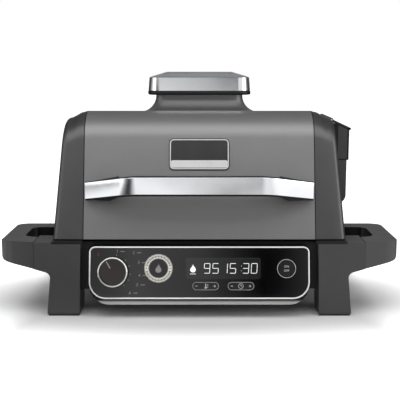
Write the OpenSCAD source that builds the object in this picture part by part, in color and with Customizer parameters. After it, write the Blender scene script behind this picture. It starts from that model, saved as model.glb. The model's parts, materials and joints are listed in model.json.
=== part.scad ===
// Countertop electric grill and smoker: hinged domed lid with a chimney, side pellet box,
// front control panel and two side handles. Millimetres, +Z up, front towards -Y,
// origin on the floor under the middle of the object.

/* [Base tub] */
// Width of the tub
base_w = 430; // [422:1:434]
// Depth of the tub, front to back
base_d = 390; // [380:1:394]
// Height of the tub's side walls
base_h = 72; // [70:1:78]
// Space between the floor and the tub
ground_gap = 37; // [34:1:44]
// Thickness of the tub's walls and floor
base_wall = 3; // [2:0.5:4]
// Radius of the tub's upright corners
base_corner = 18; // [12:1:22]
// Height of the black rim frame on top of the tub
rim_t = 2; // [1.5:0.5:3]

/* [Legs] */
// Width of a foot
leg_w = 49; // [44:1:52]
// How far a foot reaches out past the tub's side
leg_out = 14; // [10:1:18]
// Distance from the tub's side to the end of a front leg's arm
arm_reach = 32; // [28:1:36]
// Depth of a leg, front to back
leg_d = 54; // [44:1:58]
// How far a foot stands further out than the top of its leg
leg_splay = 6; // [2:1:8]
// How far the legs and side handles stand above the tub's rim
leg_rise = 2; // [0:0.5:3]
// How far a leg stands proud of the tub at the front or back
leg_proud = 20; // [16:1:22]
// Thickness of the rubber feet
foot_t = 3; // [2:0.5:5]
// Radius of the fillet under the arm of a front leg
arm_fillet = 9; // [5:1:12]

/* [Side handles] */
// How far a side handle reaches out past the tub's side
handle_reach = 87; // [80:1:92]
// Width of the bar that the hand holds
handle_bar = 33; // [28:1:36]
// Length of a handle, front to back
handle_len = 152; // [144:2:180]
// Height of a handle
handle_h = 41; // [38:1:44]
// How far the underside rises towards the tip
handle_rise = 11; // [8:1:14]
// Outer corner radius of a handle, seen from above
handle_corner = 30; // [26:1:36]
// How far the front of a handle sweeps back towards its corner
handle_sweep = 14; // [8:1:24]

/* [Cooking pot] */
// Gap between the tub's inner wall and the pot
pot_gap = 20; // [16:1:24]
// Depth of the pot below the rim frame
pot_depth = 46; // [42:1:48]
// Sheet thickness of the pot
pot_t = 1.5; // [1:0.25:2]
// Width of the pot's flange
pot_flange = 12; // [8:1:14]
// Corner radius of the pot
pot_corner = 24; // [16:1:28]

/* [Grill grate] */
// Thickness of the grate's plate
grate_t = 4; // [3:0.5:5]
// Height of the ribs above the plate
rib_h = 8; // [6:1:9]
// Distance between two ribs
rib_pitch = 20; // [18:1:24]
// Width of a rib at its foot
rib_w = 6; // [5:0.5:8]
// Slots along one rib
slots_per_rib = 3; // [2:1:4]
// Gap between the grate and the pot's wall
grate_gap = 4; // [3:0.5:6]
// Height of the ledges that carry the grate
ledge_h = 24; // [22:1:26]

/* [Heating element] */
// Diameter of the heating tube
element_d = 7; // [6:0.5:8]
// Bend radius of the heating tube
element_bend = 34; // [30:1:38]
// Number of long runs
element_runs = 4; // [4:2:4]
// Height of the tube's centre above the pot's floor
element_rise = 12; // [9:1:13]

/* [Grease tray] */
// Width of the tray
tray_w = 150; // [120:5:180]
// Length of the tray
tray_len = 165; // [140:5:180]
// Height of the tray
tray_h = 14; // [12:1:16]
// Thickness of the tray's sheet
tray_t = 1.5; // [1:0.25:2]
// How far the tray's handle stands out at the back
tray_handle = 40; // [36:1:44]
// Travel of the tray
tray_travel = 150; // [100:5:150]
// Clearance around sliding parts
slide_gap = 0.6; // [0.4:0.1:1]

/* [Control panel] */
// Gap between the panel and the front legs
panel_gap = 13; // [10:1:18]
// Height of the panel over its bezel
panel_h = 78; // [76:1:82]
// Lean of the panel
panel_tilt = 12.6; // [10:0.2:15]
// Distance from the tub to the middle of the panel
panel_out = 28.5; // [26:0.5:32]
// Height of the panel's middle above the tub's floor
panel_rise = 32; // [31:0.5:34]
// Width of the bezel's frame
bezel_w = 2.4; // [2:0.2:4]
// Height of the bezel over the fascia
bezel_proud = 1; // [0.6:0.2:1.6]
// Thickness of the fascia
fascia_t = 3; // [2:0.5:4]
// Height of the housing's strip under the bezel
housing_lip = 9; // [6:1:10]
// Upper corner radius of the bezel
bezel_r_top = 9; // [7:1:12]
// Lower corner radius of the bezel
bezel_r_low = 25; // [18:1:28]

/* [Knob] */
// Outer diameter of the knob's ring
knob_d = 45; // [40:1:48]
// Width of the knob's ring
knob_ring_w = 2.8; // [2:0.2:4]
// Height of the knob over the fascia
knob_h = 15; // [12:1:18]
// Diameter of the knob's shaft
knob_shaft_d = 6; // [5:0.5:7]
// Play of a shaft in its bore, on the radius
fit = 0.05; // [0.04:0.01:0.08]

/* [Buttons and display] */
// Diameter of the round flavour button
flavour_d = 27; // [24:1:30]
// Outer diameter of the trim ring around the flavour button
flavour_ring_d = 42; // [38:1:44]
// Diameter of the start button
start_d = 28.8; // [26:0.2:30]
// Height of the buttons over the fascia
button_proud = 0.8; // [0.6:0.1:1.2]
// Travel of a button
button_travel = 1; // [0.8:0.1:1.2]
// Gap around a button
button_gap = 0.4; // [0.35:0.05:0.6]
// Width of the display window
display_w = 110; // [100:1:114]
// Height of the display window
display_h = 31; // [28:1:32]
// Length of a rocker key
rocker_w = 40; // [36:1:42]
// Height of a rocker key
rocker_h = 12.3; // [11:0.1:13]
// Gap between the two rocker keys
key_gap = 12.3; // [8:0.1:14]
// Swing of a rocker key to each side, in degrees
rocker_swing = 2; // [1:0.5:2]

/* [Lid] */
// How far the lid overhangs the tub all round
lid_over = 6; // [4:0.5:8]
// Width of an end cap
end_w = 47; // [44:1:52]
// Height of the lid at its middle
lid_h = 179; // [170:1:184]
// Sheet thickness of the lid
lid_t = 1.6; // [1.2:0.2:2.4]
// Lean of the lid's front
front_lean = 15; // [12:0.5:17]
// Fall of the lid's top towards the back, in degrees
top_fall = 4.3; // [2:0.1:5]
// Radius of the lid's front shoulder
front_r = 52; // [46:1:58]
// Radius of the lid's rear shoulder
rear_r = 62; // [50:1:70]
// Inward lean of the lid's ends
end_lean = 4.4; // [3:0.2:5]
// How far the crest of an end cap falls towards its outer edge
end_drop = 9; // [5:1:11]
// Radius of an end cap's outer edge
end_edge = 9; // [6:1:11]
// Gap between the lid and the tub's top
lid_gap = 6; // [5.5:0.5:7]
// Distance of the inner liner from the outside of the lid
liner_gap = 14; // [12:1:16]
// Sheet thickness of the liner
liner_t = 1; // [0.8:0.1:1.6]

/* [Lid handle] */
// Distance of the handle's front from the lid's bottom edge, front to back
grip_out = 35; // [32:1:40]
// Length of each sloping end of the handle
grip_ramp = 67; // [60:1:80]
// Distance of the handle's ends from the end caps
grip_inset = 3; // [2:1:10]
// Height of the steel strip
strip_h = 25; // [22:1:28]
// Thickness of the steel strip
strip_t = 2.4; // [2:0.2:3]
// Height of the handle's middle above the lid's bottom edge
grip_z = 85.6; // [80:0.2:92]
// Distance of the strip's ends from the lid's front
grip_gap = 17; // [12:1:20]
// Half the length over which the strip bends
grip_bend = 14; // [8:1:18]
// How far the ends of the handle hang lower than the middle
grip_fall = 13; // [8:1:15]
// Thickness of the grip behind the strip
grip_t = 14; // [11:1:16]

/* [Badge] */
// Width of the blank badge
badge_w = 92; // [80:1:100]
// Height of the blank badge
badge_h = 48.6; // [44:0.2:52]
// Thickness of the blank badge
badge_t = 2.4; // [1.6:0.2:3]
// Height of the badge's lower edge above the lid's bottom edge
badge_z = 101; // [99:0.2:102]

/* [Chimney] */
// Width of the chimney's neck at its top
neck_w = 143; // [130:1:148]
// Depth of the chimney's neck at its top
neck_d = 86; // [80:2:90]
// Height of the straight part of the chimney's neck
neck_stem = 1.5; // [1:0.5:5]
// Radius of the fillet at the neck's foot
neck_flare = 29; // [24:0.5:31]
// Width of the chimney cap
cap_w = 168; // [162:2:176]
// Depth of the chimney cap
cap_d = 114; // [108:2:120]
// Height of the cap's upright band
band_h = 22.5; // [20:0.5:26]
// Height of the cap's low hipped top
hip_h = 7; // [5:1:10]
// Thickness of the gasket under the cap
gasket_t = 7; // [5:1:8]
// Radius of the cap's upright corners
cap_corner = 22; // [18:1:26]
// Sheet thickness of the cap
cap_t = 1.5; // [1:0.25:2]

/* [Fan] */
// Diameter of the impeller
fan_d = 130; // [110:2:136]
// Height of the impeller's blades
blade_h = 16; // [12:1:18]
// Number of blades
blades = 12; // [8:1:16]
// Diameter of the motor
motor_d = 62; // [56:1:66]
// Height of the motor
motor_h = 34; // [30:1:36]
// Diameter of the motor's shaft
shaft_d = 6; // [5:0.5:8]

/* [Pellet box] */
// Length of the pellet box, front to back
pellet_len = 120; // [100:2:140]
// Distance of the box's middle behind the lid's middle
pellet_y = 40; // [30:1:50]
// How far the box's upper part stands out from the lid's end
pellet_out = 31; // [28:1:36]
// Height of the box's bottom above the lid's bottom edge
pellet_low = 25; // [20:1:30]
// Height of the step between the lower and the upper part
pellet_step = 99; // [90:1:102]
// Height of the flap's hinge above the lid's bottom edge
flap_z = 167; // [165:1:168]
// Sheet thickness of the box
pellet_t = 2; // [1.5:0.25:2.5]
// Slope of the flap
flap_slope = 25; // [22:1:28]

/* [Hinges] */
// Diameter of the hinge pins
pin_d = 6; // [5:0.5:7]
// Distance between the middles of the two hinges
hinge_pitch = 220; // [180:5:260]
// Width of the lid's hinge knuckle
knuckle_w = 27; // [22:1:30]
// Thickness of a hinge cheek
cheek_t = 6; // [5:0.5:8]
// Radius of the hinge knuckles
knuckle_r = 6.5; // [5.5:0.5:7]

/* [Hidden] */
big = 1000;
touch = 0.3;

// Outer sizes that follow from the tub
lid_w = base_w + 2 * lid_over;
lid_d = base_d + 2 * lid_over;
middle_w = lid_w - 2 * end_w;
foot_x = base_w / 2 + leg_out;
leg_inner = foot_x - leg_w - leg_splay / 2;
panel_w = 2 * (leg_inner - panel_gap);
handle_tip = base_w / 2 + handle_reach;
arm_seam = base_w / 2 + arm_reach;

// Levels
tub_top = ground_gap + base_h;
rim_top = tub_top + rim_t;
lid_z = tub_top + lid_gap;
crest_z = lid_z + lid_h;
neck_h = neck_flare + neck_stem;
neck_top = crest_z + neck_h;
cap_z = neck_top + gasket_t;
pot_floor = rim_top - pot_depth;
liner_top = lid_top(lid_d / 2) - liner_gap;
leg_top = rim_top + leg_rise;
arm_low = leg_top - handle_h;

// Tub fittings
inlet_x = base_w / 2 - 65;
inlet_d = 18;
inlet_z = ground_gap + base_h / 2 - 2;
screw_x = base_w / 2 - 65;
screw_y = base_d / 2 - 65;
screw_d = 4;
cover_t = 2;
cover_margin = 12;
vent_w = 6;
vent_h = 14;

// Pot and grate
pot_w = base_w - 2 * (base_wall + pot_gap);
pot_d = base_d - 2 * (base_wall + pot_gap);
grate_w = pot_w - 2 * (pot_t + grate_gap);
grate_d = pot_d - 2 * (pot_t + grate_gap);
grate_z = pot_floor + pot_t + ledge_h;

// Heating element
element_z = pot_floor + pot_t + element_rise;
element_run = pot_w - 4 * element_bend - 30;
terminal_gap = 4;
terminal_h = 18;
terminal_x = pot_w / 2 + pot_gap - terminal_gap;
lead_y = element_bend * (element_runs - 1);
lead_end = 14;

// Tray
tray_z = ground_gap + base_wall + slide_gap + tray_t;
tray_back = base_d / 2 + 4;
tray_grip_w = 100;

// Panel
panel_y = -base_d / 2 - panel_out;
panel_z = ground_gap + panel_rise;
housing_cut = -fascia_t;
fascia_w = panel_w - 2 * bezel_w;
fascia_h = panel_h - 2 * bezel_w;
row_high = 6.5;
row_low = -19.7;
knob_y = 1;
free_w = fascia_w - knob_d - flavour_ring_d - display_w - start_d;
knob_x = -fascia_w / 2 + 0.116 * free_w + knob_d / 2;
flavour_x = knob_x + knob_d / 2 + 0.242 * free_w + flavour_ring_d / 2;
display_x = flavour_x + flavour_ring_d / 2 + 0.208 * free_w + display_w / 2;
start_x = display_x + display_w / 2 + 0.253 * free_w + start_d / 2;
temp_x = display_x - (rocker_w + key_gap) / 2;
time_x = display_x + (rocker_w + key_gap) / 2;
frame_wall = 6;
board_gap = 6;
board_t = 1.6;
pad_d = 8;
pad_inset = base_corner / 2;
post_d = 6;
flange_w = 1.5;
flange_t = 1.3;
rocker_gap = touch + rocker_w / 4 * sin(rocker_swing);

// Hinge axis
hinge_y = lid_d / 2 + knuckle_r + 0.5;
hinge_z = lid_z + knuckle_r + 0.5;
cheek_gap = 0.5;
bracket_drop = 28;
leaf_t = 3;
leaf_h = 36;

// Lid handle
grip_y = -lid_d / 2 - grip_out;
grip_end = middle_w / 2 - grip_inset;
grip_half = grip_end - grip_ramp;

// Fan
fan_top = liner_top - liner_t - 6;
guard_low = fan_top - blade_h - 10;
guard_r = fan_d / 2 + 12;

// Pellet box, its flap and its duct into the lid
pellet_x = lid_w / 2 + pellet_out;
flap_x = lid_w / 2 + 1;
pellet_tuck = 3;
flap_turn_z = lid_z + flap_z;
flap_len = pellet_x - flap_x + 2;
flap_t = 2.5;
flap_knuckle = 3;
flap_pin_d = 3;
ear_t = 3;
lip_len = 6;
lip_w = 52;
lip_t = 1.6;
duct_w = 40;
duct_h = 24;
duct_z = 110;
duct_x = lid_w / 2 - liner_gap;

// ---------- functions ----------

function lid_front(z, inset = 0) =
    -lid_d / 2 + inset / cos(front_lean) + (z - lid_z) * tan(front_lean);

// Height of the lid's top at y.
function lid_top(y) = crest_z - y * tan(top_fall);

function lid_end(z) = lid_w / 2 - (z - lid_z) * tan(end_lean);

// Corner b between a and c, rounded with radius r.
function fillet(a, b, c, r, n) =
    let (
        u = (a - b) / norm(a - b),
        v = (c - b) / norm(c - b),
        half = acos(u * v) / 2,
        middle = b + (u + v) / norm(u + v) * r / sin(half),
        from = b + u * r / tan(half) - middle,
        to = b + v * r / tan(half) - middle,
        start = atan2(from.y, from.x),
        turn = atan2(to.y, to.x) - start,
        sweep = turn > 180 ? turn - 360 : turn < -180 ? turn + 360 : turn
    )
    [for (i = [0:n]) middle + r * [cos(start + sweep * i / n), sin(start + sweep * i / n)]];

// Outline through corners [x, y, radius].
function rounded(corners, n = 8) =
    [for (i = [0:len(corners) - 1])
        let (
            last = len(corners) - 1,
            before = corners[i == 0 ? last : i - 1],
            here = corners[i],
            after = corners[i == last ? 0 : i + 1],
            b = [here.x, here.y]
        )
        each here[2] > 0
            ? fillet([before.x, before.y], b, [after.x, after.y], here[2], n)
            : [b]];

// Rounded rectangle, counter-clockwise.
function soft_rect(w, d, r, n = 8) =
    rounded([[w / 2, -d / 2, r], [w / 2, d / 2, r], [-w / 2, d / 2, r], [-w / 2, -d / 2, r]], n);

// Side outline of the lid in [y, z], from its rear edge over the crest to its front edge.
function lid_outline(inset = 0, drop = 0, low = 0) =
    let (
        sink = inset / cos(top_fall) + drop,
        back = lid_d / 2 - inset,
        bottom = lid_z - low,
        lean = tan(front_lean),
        y = (lid_front(lid_z, inset) + (crest_z - sink - lid_z) * lean) / (1 + lean * tan(top_fall))
    )
    rounded([
        [back, bottom, 0],
        [back, lid_top(back) - sink, rear_r - inset],
        [y, lid_top(y) - sink, front_r - inset],
        [lid_front(bottom, inset), bottom, 0]
    ], 14);

// Side outline of the liner in [y, z]: t inside its outer face, with a level top.
function liner_outline(t = 0, low = 0) =
    let (
        back = lid_d / 2 - liner_gap - t,
        bottom = lid_z - low,
        top = liner_top - t
    )
    rounded([
        [back, bottom, 0],
        [back, top, rear_r - liner_gap - t],
        [lid_front(top, liner_gap + t), top, front_r - liner_gap - t],
        [lid_front(bottom, liner_gap + t), bottom, 0]
    ], 14);

function panel_outline(w, up, down, r_top, r_low) =
    rounded([[-w / 2, -down, r_low], [w / 2, -down, r_low], [w / 2, up, r_top], [-w / 2, up, r_top]]);

// Triangles between two closed or open rings that start at points a and b.
function band(a, b, n, closed = true) =
    [for (j = [0:n - (closed ? 1 : 2)])
        let (k = (j + 1) % n)
        each [[a + j, b + j, b + k], [a + j, b + k, a + k]]];

function fan(a, n) = [for (j = [1:n - 2]) [a, a + j, a + j + 1]];

function flip(faces) = [for (f = faces) [f[2], f[1], f[0]]];

function flat(lists) = [for (l = lists) each l];

// ---------- helpers ----------

// Solid through rings that are listed along their axis.
module skin(rings) {
    n = len(rings[0]);
    last = len(rings) - 1;
    sides = [for (k = [0:last - 1]) each band(k * n, (k + 1) * n, n)];
    polyhedron(flat(rings), concat(fan(0, n), sides, flip(fan(last * n, n))));
}

// Cup through outer and inner rings, open at its first ring.
module cup(outer, inner) {
    n = len(outer[0]);
    o = len(outer) - 1;
    i = len(inner) - 1;
    first = (o + 1) * n;
    walls = [for (k = [0:o - 1]) each band(k * n, (k + 1) * n, n)];
    lining = [for (k = [0:i - 1]) each band(first + k * n, first + (k + 1) * n, n)];
    polyhedron(
        concat(flat(outer), flat(inner)),
        concat(walls, flip(fan(o * n, n)), flip(lining), fan(first + i * n, n),
            flip(band(0, first, n)))
    );
}

// Tube through outer and inner rings, open at both ends.
module tube(outer, inner) {
    n = len(outer[0]);
    last = len(outer) - 1;
    first = (last + 1) * n;
    walls = [for (k = [0:last - 1]) each band(k * n, (k + 1) * n, n)];
    lining = [for (k = [0:last - 1]) each band(first + k * n, first + (k + 1) * n, n)];
    polyhedron(
        concat(flat(outer), flat(inner)),
        concat(walls, flip(lining), flip(band(0, first, n)), band(last * n, first + last * n, n))
    );
}

module box(x, y, z) {
    translate([x[0], y[0], z[0]]) cube([x[1] - x[0], y[1] - y[0], z[1] - z[0]]);
}

module slab(points, z0, z1) {
    translate([0, 0, z0]) linear_extrude(z1 - z0) polygon(points);
}

// Outline in [y, z] extruded along X.
module along_x(points, x0, x1) {
    translate([x0, 0, 0]) rotate([90, 0, 90]) linear_extrude(x1 - x0) polygon(points);
}

// Outline in [x, z] extruded along Y.
module along_y(points, y0, y1) {
    translate([0, y1, 0]) rotate([90, 0, 0]) linear_extrude(y1 - y0) polygon(points);
}

module frame_ring(w, d, r, band_w, z0, z1) {
    translate([0, 0, z0]) linear_extrude(z1 - z0) difference() {
        polygon(soft_rect(w, d, r));
        polygon(soft_rect(w - 2 * band_w, d - 2 * band_w, r - band_w));
    }
}

// Panel frame: X to the right, Y up along the panel, Z out of the panel.
module on_panel(x = 0, y = 0) {
    translate([0, panel_y, panel_z]) rotate([90 - panel_tilt, 0, 0]) translate([x, y, 0]) children();
}

module both_sides() {
    children();
    mirror([1, 0, 0]) children();
}

// ---------- base ----------

module tub_body() {
    slab(soft_rect(base_w, base_d, base_corner), ground_gap, tub_top);
}

module base_shell() {
    inner_w = base_w - 2 * base_wall;
    inner_d = base_d - 2 * base_wall;
    color("dimgray") difference() {
        tub_body();
        slab(soft_rect(inner_w, inner_d, base_corner - base_wall), ground_gap + base_wall, big);
        box([-tray_w / 2 - slide_gap, tray_w / 2 + slide_gap], [0, base_d],
            [tray_z - slide_gap, tray_z + tray_h + slide_gap]);
        for (i = [-5:5])
            box([(2 * i - 0.5) * vent_w, (2 * i + 0.5) * vent_w], [0, base_d],
                [tub_top - 12 - vent_h, tub_top - 12]);
        translate([-inlet_x, base_d / 2 + 1, inlet_z]) rotate([90, 0, 0])
            cylinder(h = 20, d = inlet_d, $fn = 48);
        for (x = [-1, 1], y = [-1, 1])
            translate([x * screw_x, y * screw_y, 0]) cylinder(h = big, d = screw_d, $fn = 32);
    }
}

module rim_frame() {
    color("black") difference() {
        slab(soft_rect(base_w, base_d, base_corner), tub_top, rim_top);
        slab(soft_rect(pot_w, pot_d, pot_corner), tub_top - 1, rim_top + 1);
    }
}

module bottom_cover() {
    color("gray") difference() {
        slab(soft_rect(2 * (screw_x + cover_margin), 2 * (screw_y + cover_margin), cover_margin),
            ground_gap - cover_t, ground_gap);
        for (i = [-5:5])
            box([(3 * i - 0.5) * vent_w, (3 * i + 0.5) * vent_w], [-60, 20], [0, ground_gap + 1]);
        for (x = [-1, 1], y = [-1, 1])
            translate([x * screw_x, y * screw_y, 0]) cylinder(h = big, d = screw_d, $fn = 32);
    }
}

module cover_screws() {
    color("silver") for (x = [-1, 1], y = [-1, 1])
        translate([x * screw_x, y * screw_y, 0]) {
            translate([0, 0, ground_gap - cover_t])
                cylinder(h = cover_t + base_wall + 3, d = screw_d, $fn = 32);
            difference() {
                translate([0, 0, ground_gap - cover_t - 2]) cylinder(h = 2, d = 2 * screw_d, $fn = 32);
                translate([0, 0, ground_gap - cover_t - 2.5])
                    cylinder(h = 1.6, d = screw_d - 0.4, $fn = 6);
            }
        }
}

module cooking_pot() {
    color("darkslategray") {
        difference() {
            union() {
                slab(soft_rect(pot_w, pot_d, pot_corner), pot_floor, rim_top + pot_t);
                slab(soft_rect(pot_w + 2 * pot_flange, pot_d + 2 * pot_flange,
                    pot_corner + pot_flange), rim_top, rim_top + pot_t);
            }
            slab(soft_rect(pot_w - 2 * pot_t, pot_d - 2 * pot_t, pot_corner - pot_t),
                pot_floor + pot_t, big);
            for (y = [-1, 1])
                translate([0, y * lead_y, element_z]) rotate([0, 90, 0])
                    cylinder(h = pot_w, d = element_d + 2 * fit, $fn = 48);
            translate([0, pot_d / 2 - 30, 0]) cylinder(h = big, d = 16, $fn = 48);
        }
        for (x = [-1, 1], y = [-1, 1])
            translate([x * (pot_w / 2 - pot_t - 9), y * (pot_d / 2 - pot_t - 40),
                pot_floor + pot_t - 0.5])
                cylinder(h = ledge_h + 0.5, d = 12, $fn = 32);
    }
}

module heating_element() {
    half = element_run / 2;
    color("dimgray") translate([0, 0, element_z]) {
        for (i = [0:element_runs - 1])
            let (
                y = -lead_y + 2 * element_bend * i,
                ends = i == 0 || i == element_runs - 1,
                right = ends ? terminal_x : half
            )
            translate([-half, y, 0]) rotate([0, 90, 0])
                cylinder(h = half + right, d = element_d, $fn = 24);
        for (i = [0:element_runs - 2])
            let (side = i % 2 == 0 ? -1 : 1)
            translate([side * half, -lead_y + element_bend * (2 * i + 1), 0])
                tube_turn(side);
    }
}

module tube_turn(side) {
    rotate([0, 0, side > 0 ? -90 : 90]) rotate_extrude(angle = 180, $fn = 64)
        translate([element_bend, 0]) circle(d = element_d, $fn = 24);
}

module element_terminal() {
    color("ivory") difference() {
        box([pot_w / 2 + terminal_gap, base_w / 2 - base_wall], [-lead_y - lead_end, lead_y + lead_end],
            [element_z - terminal_h / 2, element_z + terminal_h / 2]);
        box([0, terminal_x], [-lead_y + lead_end, lead_y - lead_end],
            [element_z - terminal_h, element_z + terminal_h]);
        for (y = [-1, 1])
            translate([0, y * lead_y, element_z]) rotate([0, 90, 0])
                cylinder(h = terminal_x, d = element_d, $fn = 24);
    }
}

module grill_grate() {
    half = grate_w / 2;
    count = floor((grate_w - 60) / rib_pitch / 2);
    slot_len = (grate_d - 60) / slots_per_rib - 14;
    color("darkslategray") {
        difference() {
            slab(soft_rect(grate_w, grate_d, pot_corner - grate_gap), grate_z, grate_z + grate_t);
            for (i = [-count:count - 1], j = [0:slots_per_rib - 1])
                translate([(i + 0.5) * rib_pitch,
                    (j - (slots_per_rib - 1) / 2) * (slot_len + 14), grate_z - 1])
                    slot(5, slot_len, grate_t + 2);
            translate([0, grate_d / 2 - 18, 0]) cylinder(h = big, d = 14, $fn = 32);
        }
        for (i = [-count:count])
            translate([i * rib_pitch, 0, grate_z + grate_t]) rib(grate_d - 60);
        frame_ring(grate_w, grate_d, pot_corner - grate_gap, 8, grate_z + grate_t - 0.5,
            grate_z + grate_t + 4);
    }
}

module slot(w, len, h) {
    translate([-w / 2, -(len - w) / 2, 0]) cube([w, len - w, h]);
    for (s = [-1, 1])
        translate([0, s * (len - w) / 2, 0]) cylinder(h = h, d = w, $fn = 24);
}

// Rib with sloping flanks and sloping ends.
module rib(len) {
    top = rib_w * 0.45;
    translate([0, 0, -0.5]) rotate([90, 0, 0]) translate([0, 0, -len / 2])
        linear_extrude(len)
            polygon([[-rib_w / 2, 0], [rib_w / 2, 0], [top / 2, rib_h + 0.5], [-top / 2, rib_h + 0.5]]);
}

// Leg in front view, right-hand side; the arm is only on a front leg.
function leg_front(arm) =
    let (
        out = foot_x,
        in = out - leg_w,
        knee = ground_gap + 28
    )
    arm
        ? rounded([
            [leg_inner, leg_top, 0], [in, foot_t, 0], [out, foot_t, 0],
            [out - leg_splay, knee, arm_fillet], [arm_seam, arm_low, 0], [arm_seam, leg_top, 0]
        ])
        : [[leg_inner, leg_top], [in, foot_t], [out, foot_t], [out - leg_splay, leg_top]];

module leg(arm, front) {
    y1 = base_d / 2 + leg_proud;
    difference() {
        if (front)
            along_y(leg_front(arm), -y1, -y1 + leg_d);
        else
            along_y(leg_front(arm), y1 - leg_d, y1);
        slab(soft_rect(base_w, base_d, base_corner), ground_gap, big);
    }
}

module front_leg_left() {
    color("#4a4a4c") mirror([1, 0, 0]) leg(true, true);
}

module front_leg_right() {
    color("#4a4a4c") leg(true, true);
}

module rear_leg_left() {
    color("#4a4a4c") mirror([1, 0, 0]) leg(false, false);
}

module rear_leg_right() {
    color("#4a4a4c") leg(false, false);
}

module rubber_feet() {
    x = foot_x - leg_w / 2;
    y = base_d / 2 + leg_proud - leg_d / 2;
    color("black") for (sx = [-1, 1], sy = [-1, 1])
        translate([sx * x, sy * y, 0])
            slab(soft_rect(leg_w - 2, leg_d - 2, 3), 0, foot_t);
}

// U-shaped handle with a hand hole, right-hand side.
module side_handle() {
    front = -base_d / 2 - leg_proud + 2;
    back = front + handle_len;
    inner = handle_tip - handle_bar;
    plan = rounded([
        [arm_seam, front, 0], [handle_tip, front + handle_sweep, handle_corner],
        [handle_tip, back, handle_corner * 0.8],
        [base_w / 2, back, 0], [base_w / 2, back - handle_bar, 0],
        [inner, back - handle_bar, handle_corner / 2],
        [inner, front + handle_bar + handle_sweep, handle_corner / 2],
        [arm_seam, front + handle_bar + 6, 0]
    ]);
    side = rounded([
        [base_w / 2 - 1, arm_low, 0], [arm_seam, arm_low, 0],
        [handle_tip, arm_low + handle_rise, 9], [handle_tip, leg_top, 5],
        [base_w / 2 - 1, leg_top, 0]
    ]);
    intersection() {
        slab(plan, arm_low - 2, leg_top + 1);
        along_y(side, front - 1, back + 1);
    }
}

module side_handle_left() {
    color("#48484a") mirror([1, 0, 0]) side_handle();
}

module side_handle_right() {
    color("#48484a") side_handle();
}

// Pads on the rim that the closed lid meets.
module lid_pads() {
    color("silver") for (x = [-1, 1], y = [-1, 1])
        translate([x * (base_w / 2 - pad_inset), y * (base_d / 2 - pad_inset), rim_top])
            cylinder(h = lid_z - rim_top - touch, d = pad_d, $fn = 32);
}

module hinge_brackets() {
    wall_y = base_d / 2;
    side = [
        [wall_y, tub_top - bracket_drop], [wall_y + 3, tub_top - bracket_drop],
        [hinge_y + knuckle_r, hinge_z - 4],
        [hinge_y + knuckle_r, hinge_z], [hinge_y - knuckle_r, hinge_z],
        [hinge_y - knuckle_r, rim_top], [wall_y, rim_top]
    ];
    color("dimgray") both_sides()
        for (s = [-1, 1])
            let (x = hinge_pitch / 2 + s * (knuckle_w / 2 + cheek_gap + cheek_t / 2) - cheek_t / 2)
            difference() {
                union() {
                    along_x(side, x, x + cheek_t);
                    translate([x, hinge_y, hinge_z]) rotate([0, 90, 0])
                        cylinder(h = cheek_t, r = knuckle_r, $fn = 48);
                }
                translate([x - 1, hinge_y, hinge_z]) rotate([0, 90, 0])
                    cylinder(h = cheek_t + 2, d = pin_d, $fn = 48);
            }
}

module hinge_pins() {
    len = knuckle_w + 2 * (cheek_gap + cheek_t);
    color("silver") both_sides()
        translate([hinge_pitch / 2 - len / 2, hinge_y, hinge_z]) rotate([0, 90, 0]) {
            cylinder(h = len, d = pin_d, $fn = 48);
            for (z = [-1.5, len])
                translate([0, 0, z]) cylinder(h = 1.5, d = pin_d + 3, $fn = 48);
        }
}

module power_inlet() {
    color("black") translate([-inlet_x, base_d / 2, inlet_z]) rotate([-90, 0, 0]) difference() {
        union() {
            translate([0, 0, -base_wall - 4]) cylinder(h = base_wall + 4, d = inlet_d, $fn = 48);
            cylinder(h = 4, d = inlet_d + 8, $fn = 48);
            translate([0, 0, 4]) cylinder(h = 14, d1 = inlet_d - 2, d2 = 11, $fn = 48);
        }
        translate([0, 0, -20]) cylinder(h = 60, d = 8, $fn = 32);
    }
}

module tray_rails() {
    rail_y = base_d / 2 - base_wall;
    color("silver") both_sides()
        box([tray_w / 2 + slide_gap, tray_w / 2 + slide_gap + 4], [rail_y - tray_len, rail_y],
            [ground_gap + base_wall, tray_z + tray_h + slide_gap]);
}

// Plan of the tray's handle, which narrows towards its outer edge.
function tray_grip(w, y0, y1, r) =
    rounded([[-w / 2, y0, 3], [w / 2, y0, 3], [w / 2 - 5, y1, r], [-w / 2 + 5, y1, r]]);

module grease_tray() {
    front = tray_back - tray_len;
    z1 = tray_z + tray_h;
    reach = base_d / 2 + tray_handle;
    color("silver") {
        difference() {
            box([-tray_w / 2, tray_w / 2], [front, tray_back], [tray_z, z1]);
            box([-tray_w / 2 + tray_t, tray_w / 2 - tray_t], [front + tray_t, base_d / 2 - base_wall - 2],
                [tray_z + tray_t, z1 + 1]);
        }
        difference() {
            slab(tray_grip(tray_grip_w, tray_back - 1, reach, 12), tray_z + 2, z1 - 2);
            slab(tray_grip(tray_grip_w - 36, tray_back + 4, reach - 10, 6), 0, big);
        }
    }
}

// ---------- control panel ----------

module control_housing() {
    t = cos(panel_tilt);
    up = panel_h / 2 * t;
    color("#55534f") intersection() {
        difference() {
            translate([0, 0, panel_z])
                along_y(panel_outline(panel_w, up, up + housing_lip, bezel_r_top, bezel_r_low + 5),
                    panel_y - 40, -base_d / 2);
            translate([0, 0, panel_z])
                along_y(panel_outline(panel_w - 2 * frame_wall, up - frame_wall, up - frame_wall,
                    bezel_r_top - 4, bezel_r_low - frame_wall),
                    panel_y - 41, -base_d / 2 + 1);
        }
        on_panel() translate([-big / 2, -big / 2, housing_cut - big]) cube(big);
    }
}

module panel_bezel() {
    color("silver") on_panel() translate([0, 0, housing_cut])
        linear_extrude(fascia_t + bezel_proud) difference() {
            polygon(panel_outline(panel_w, panel_h / 2, panel_h / 2, bezel_r_top, bezel_r_low));
            polygon(panel_outline(fascia_w, fascia_h / 2, fascia_h / 2,
                bezel_r_top - bezel_w, bezel_r_low - bezel_w));
        }
}

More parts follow.
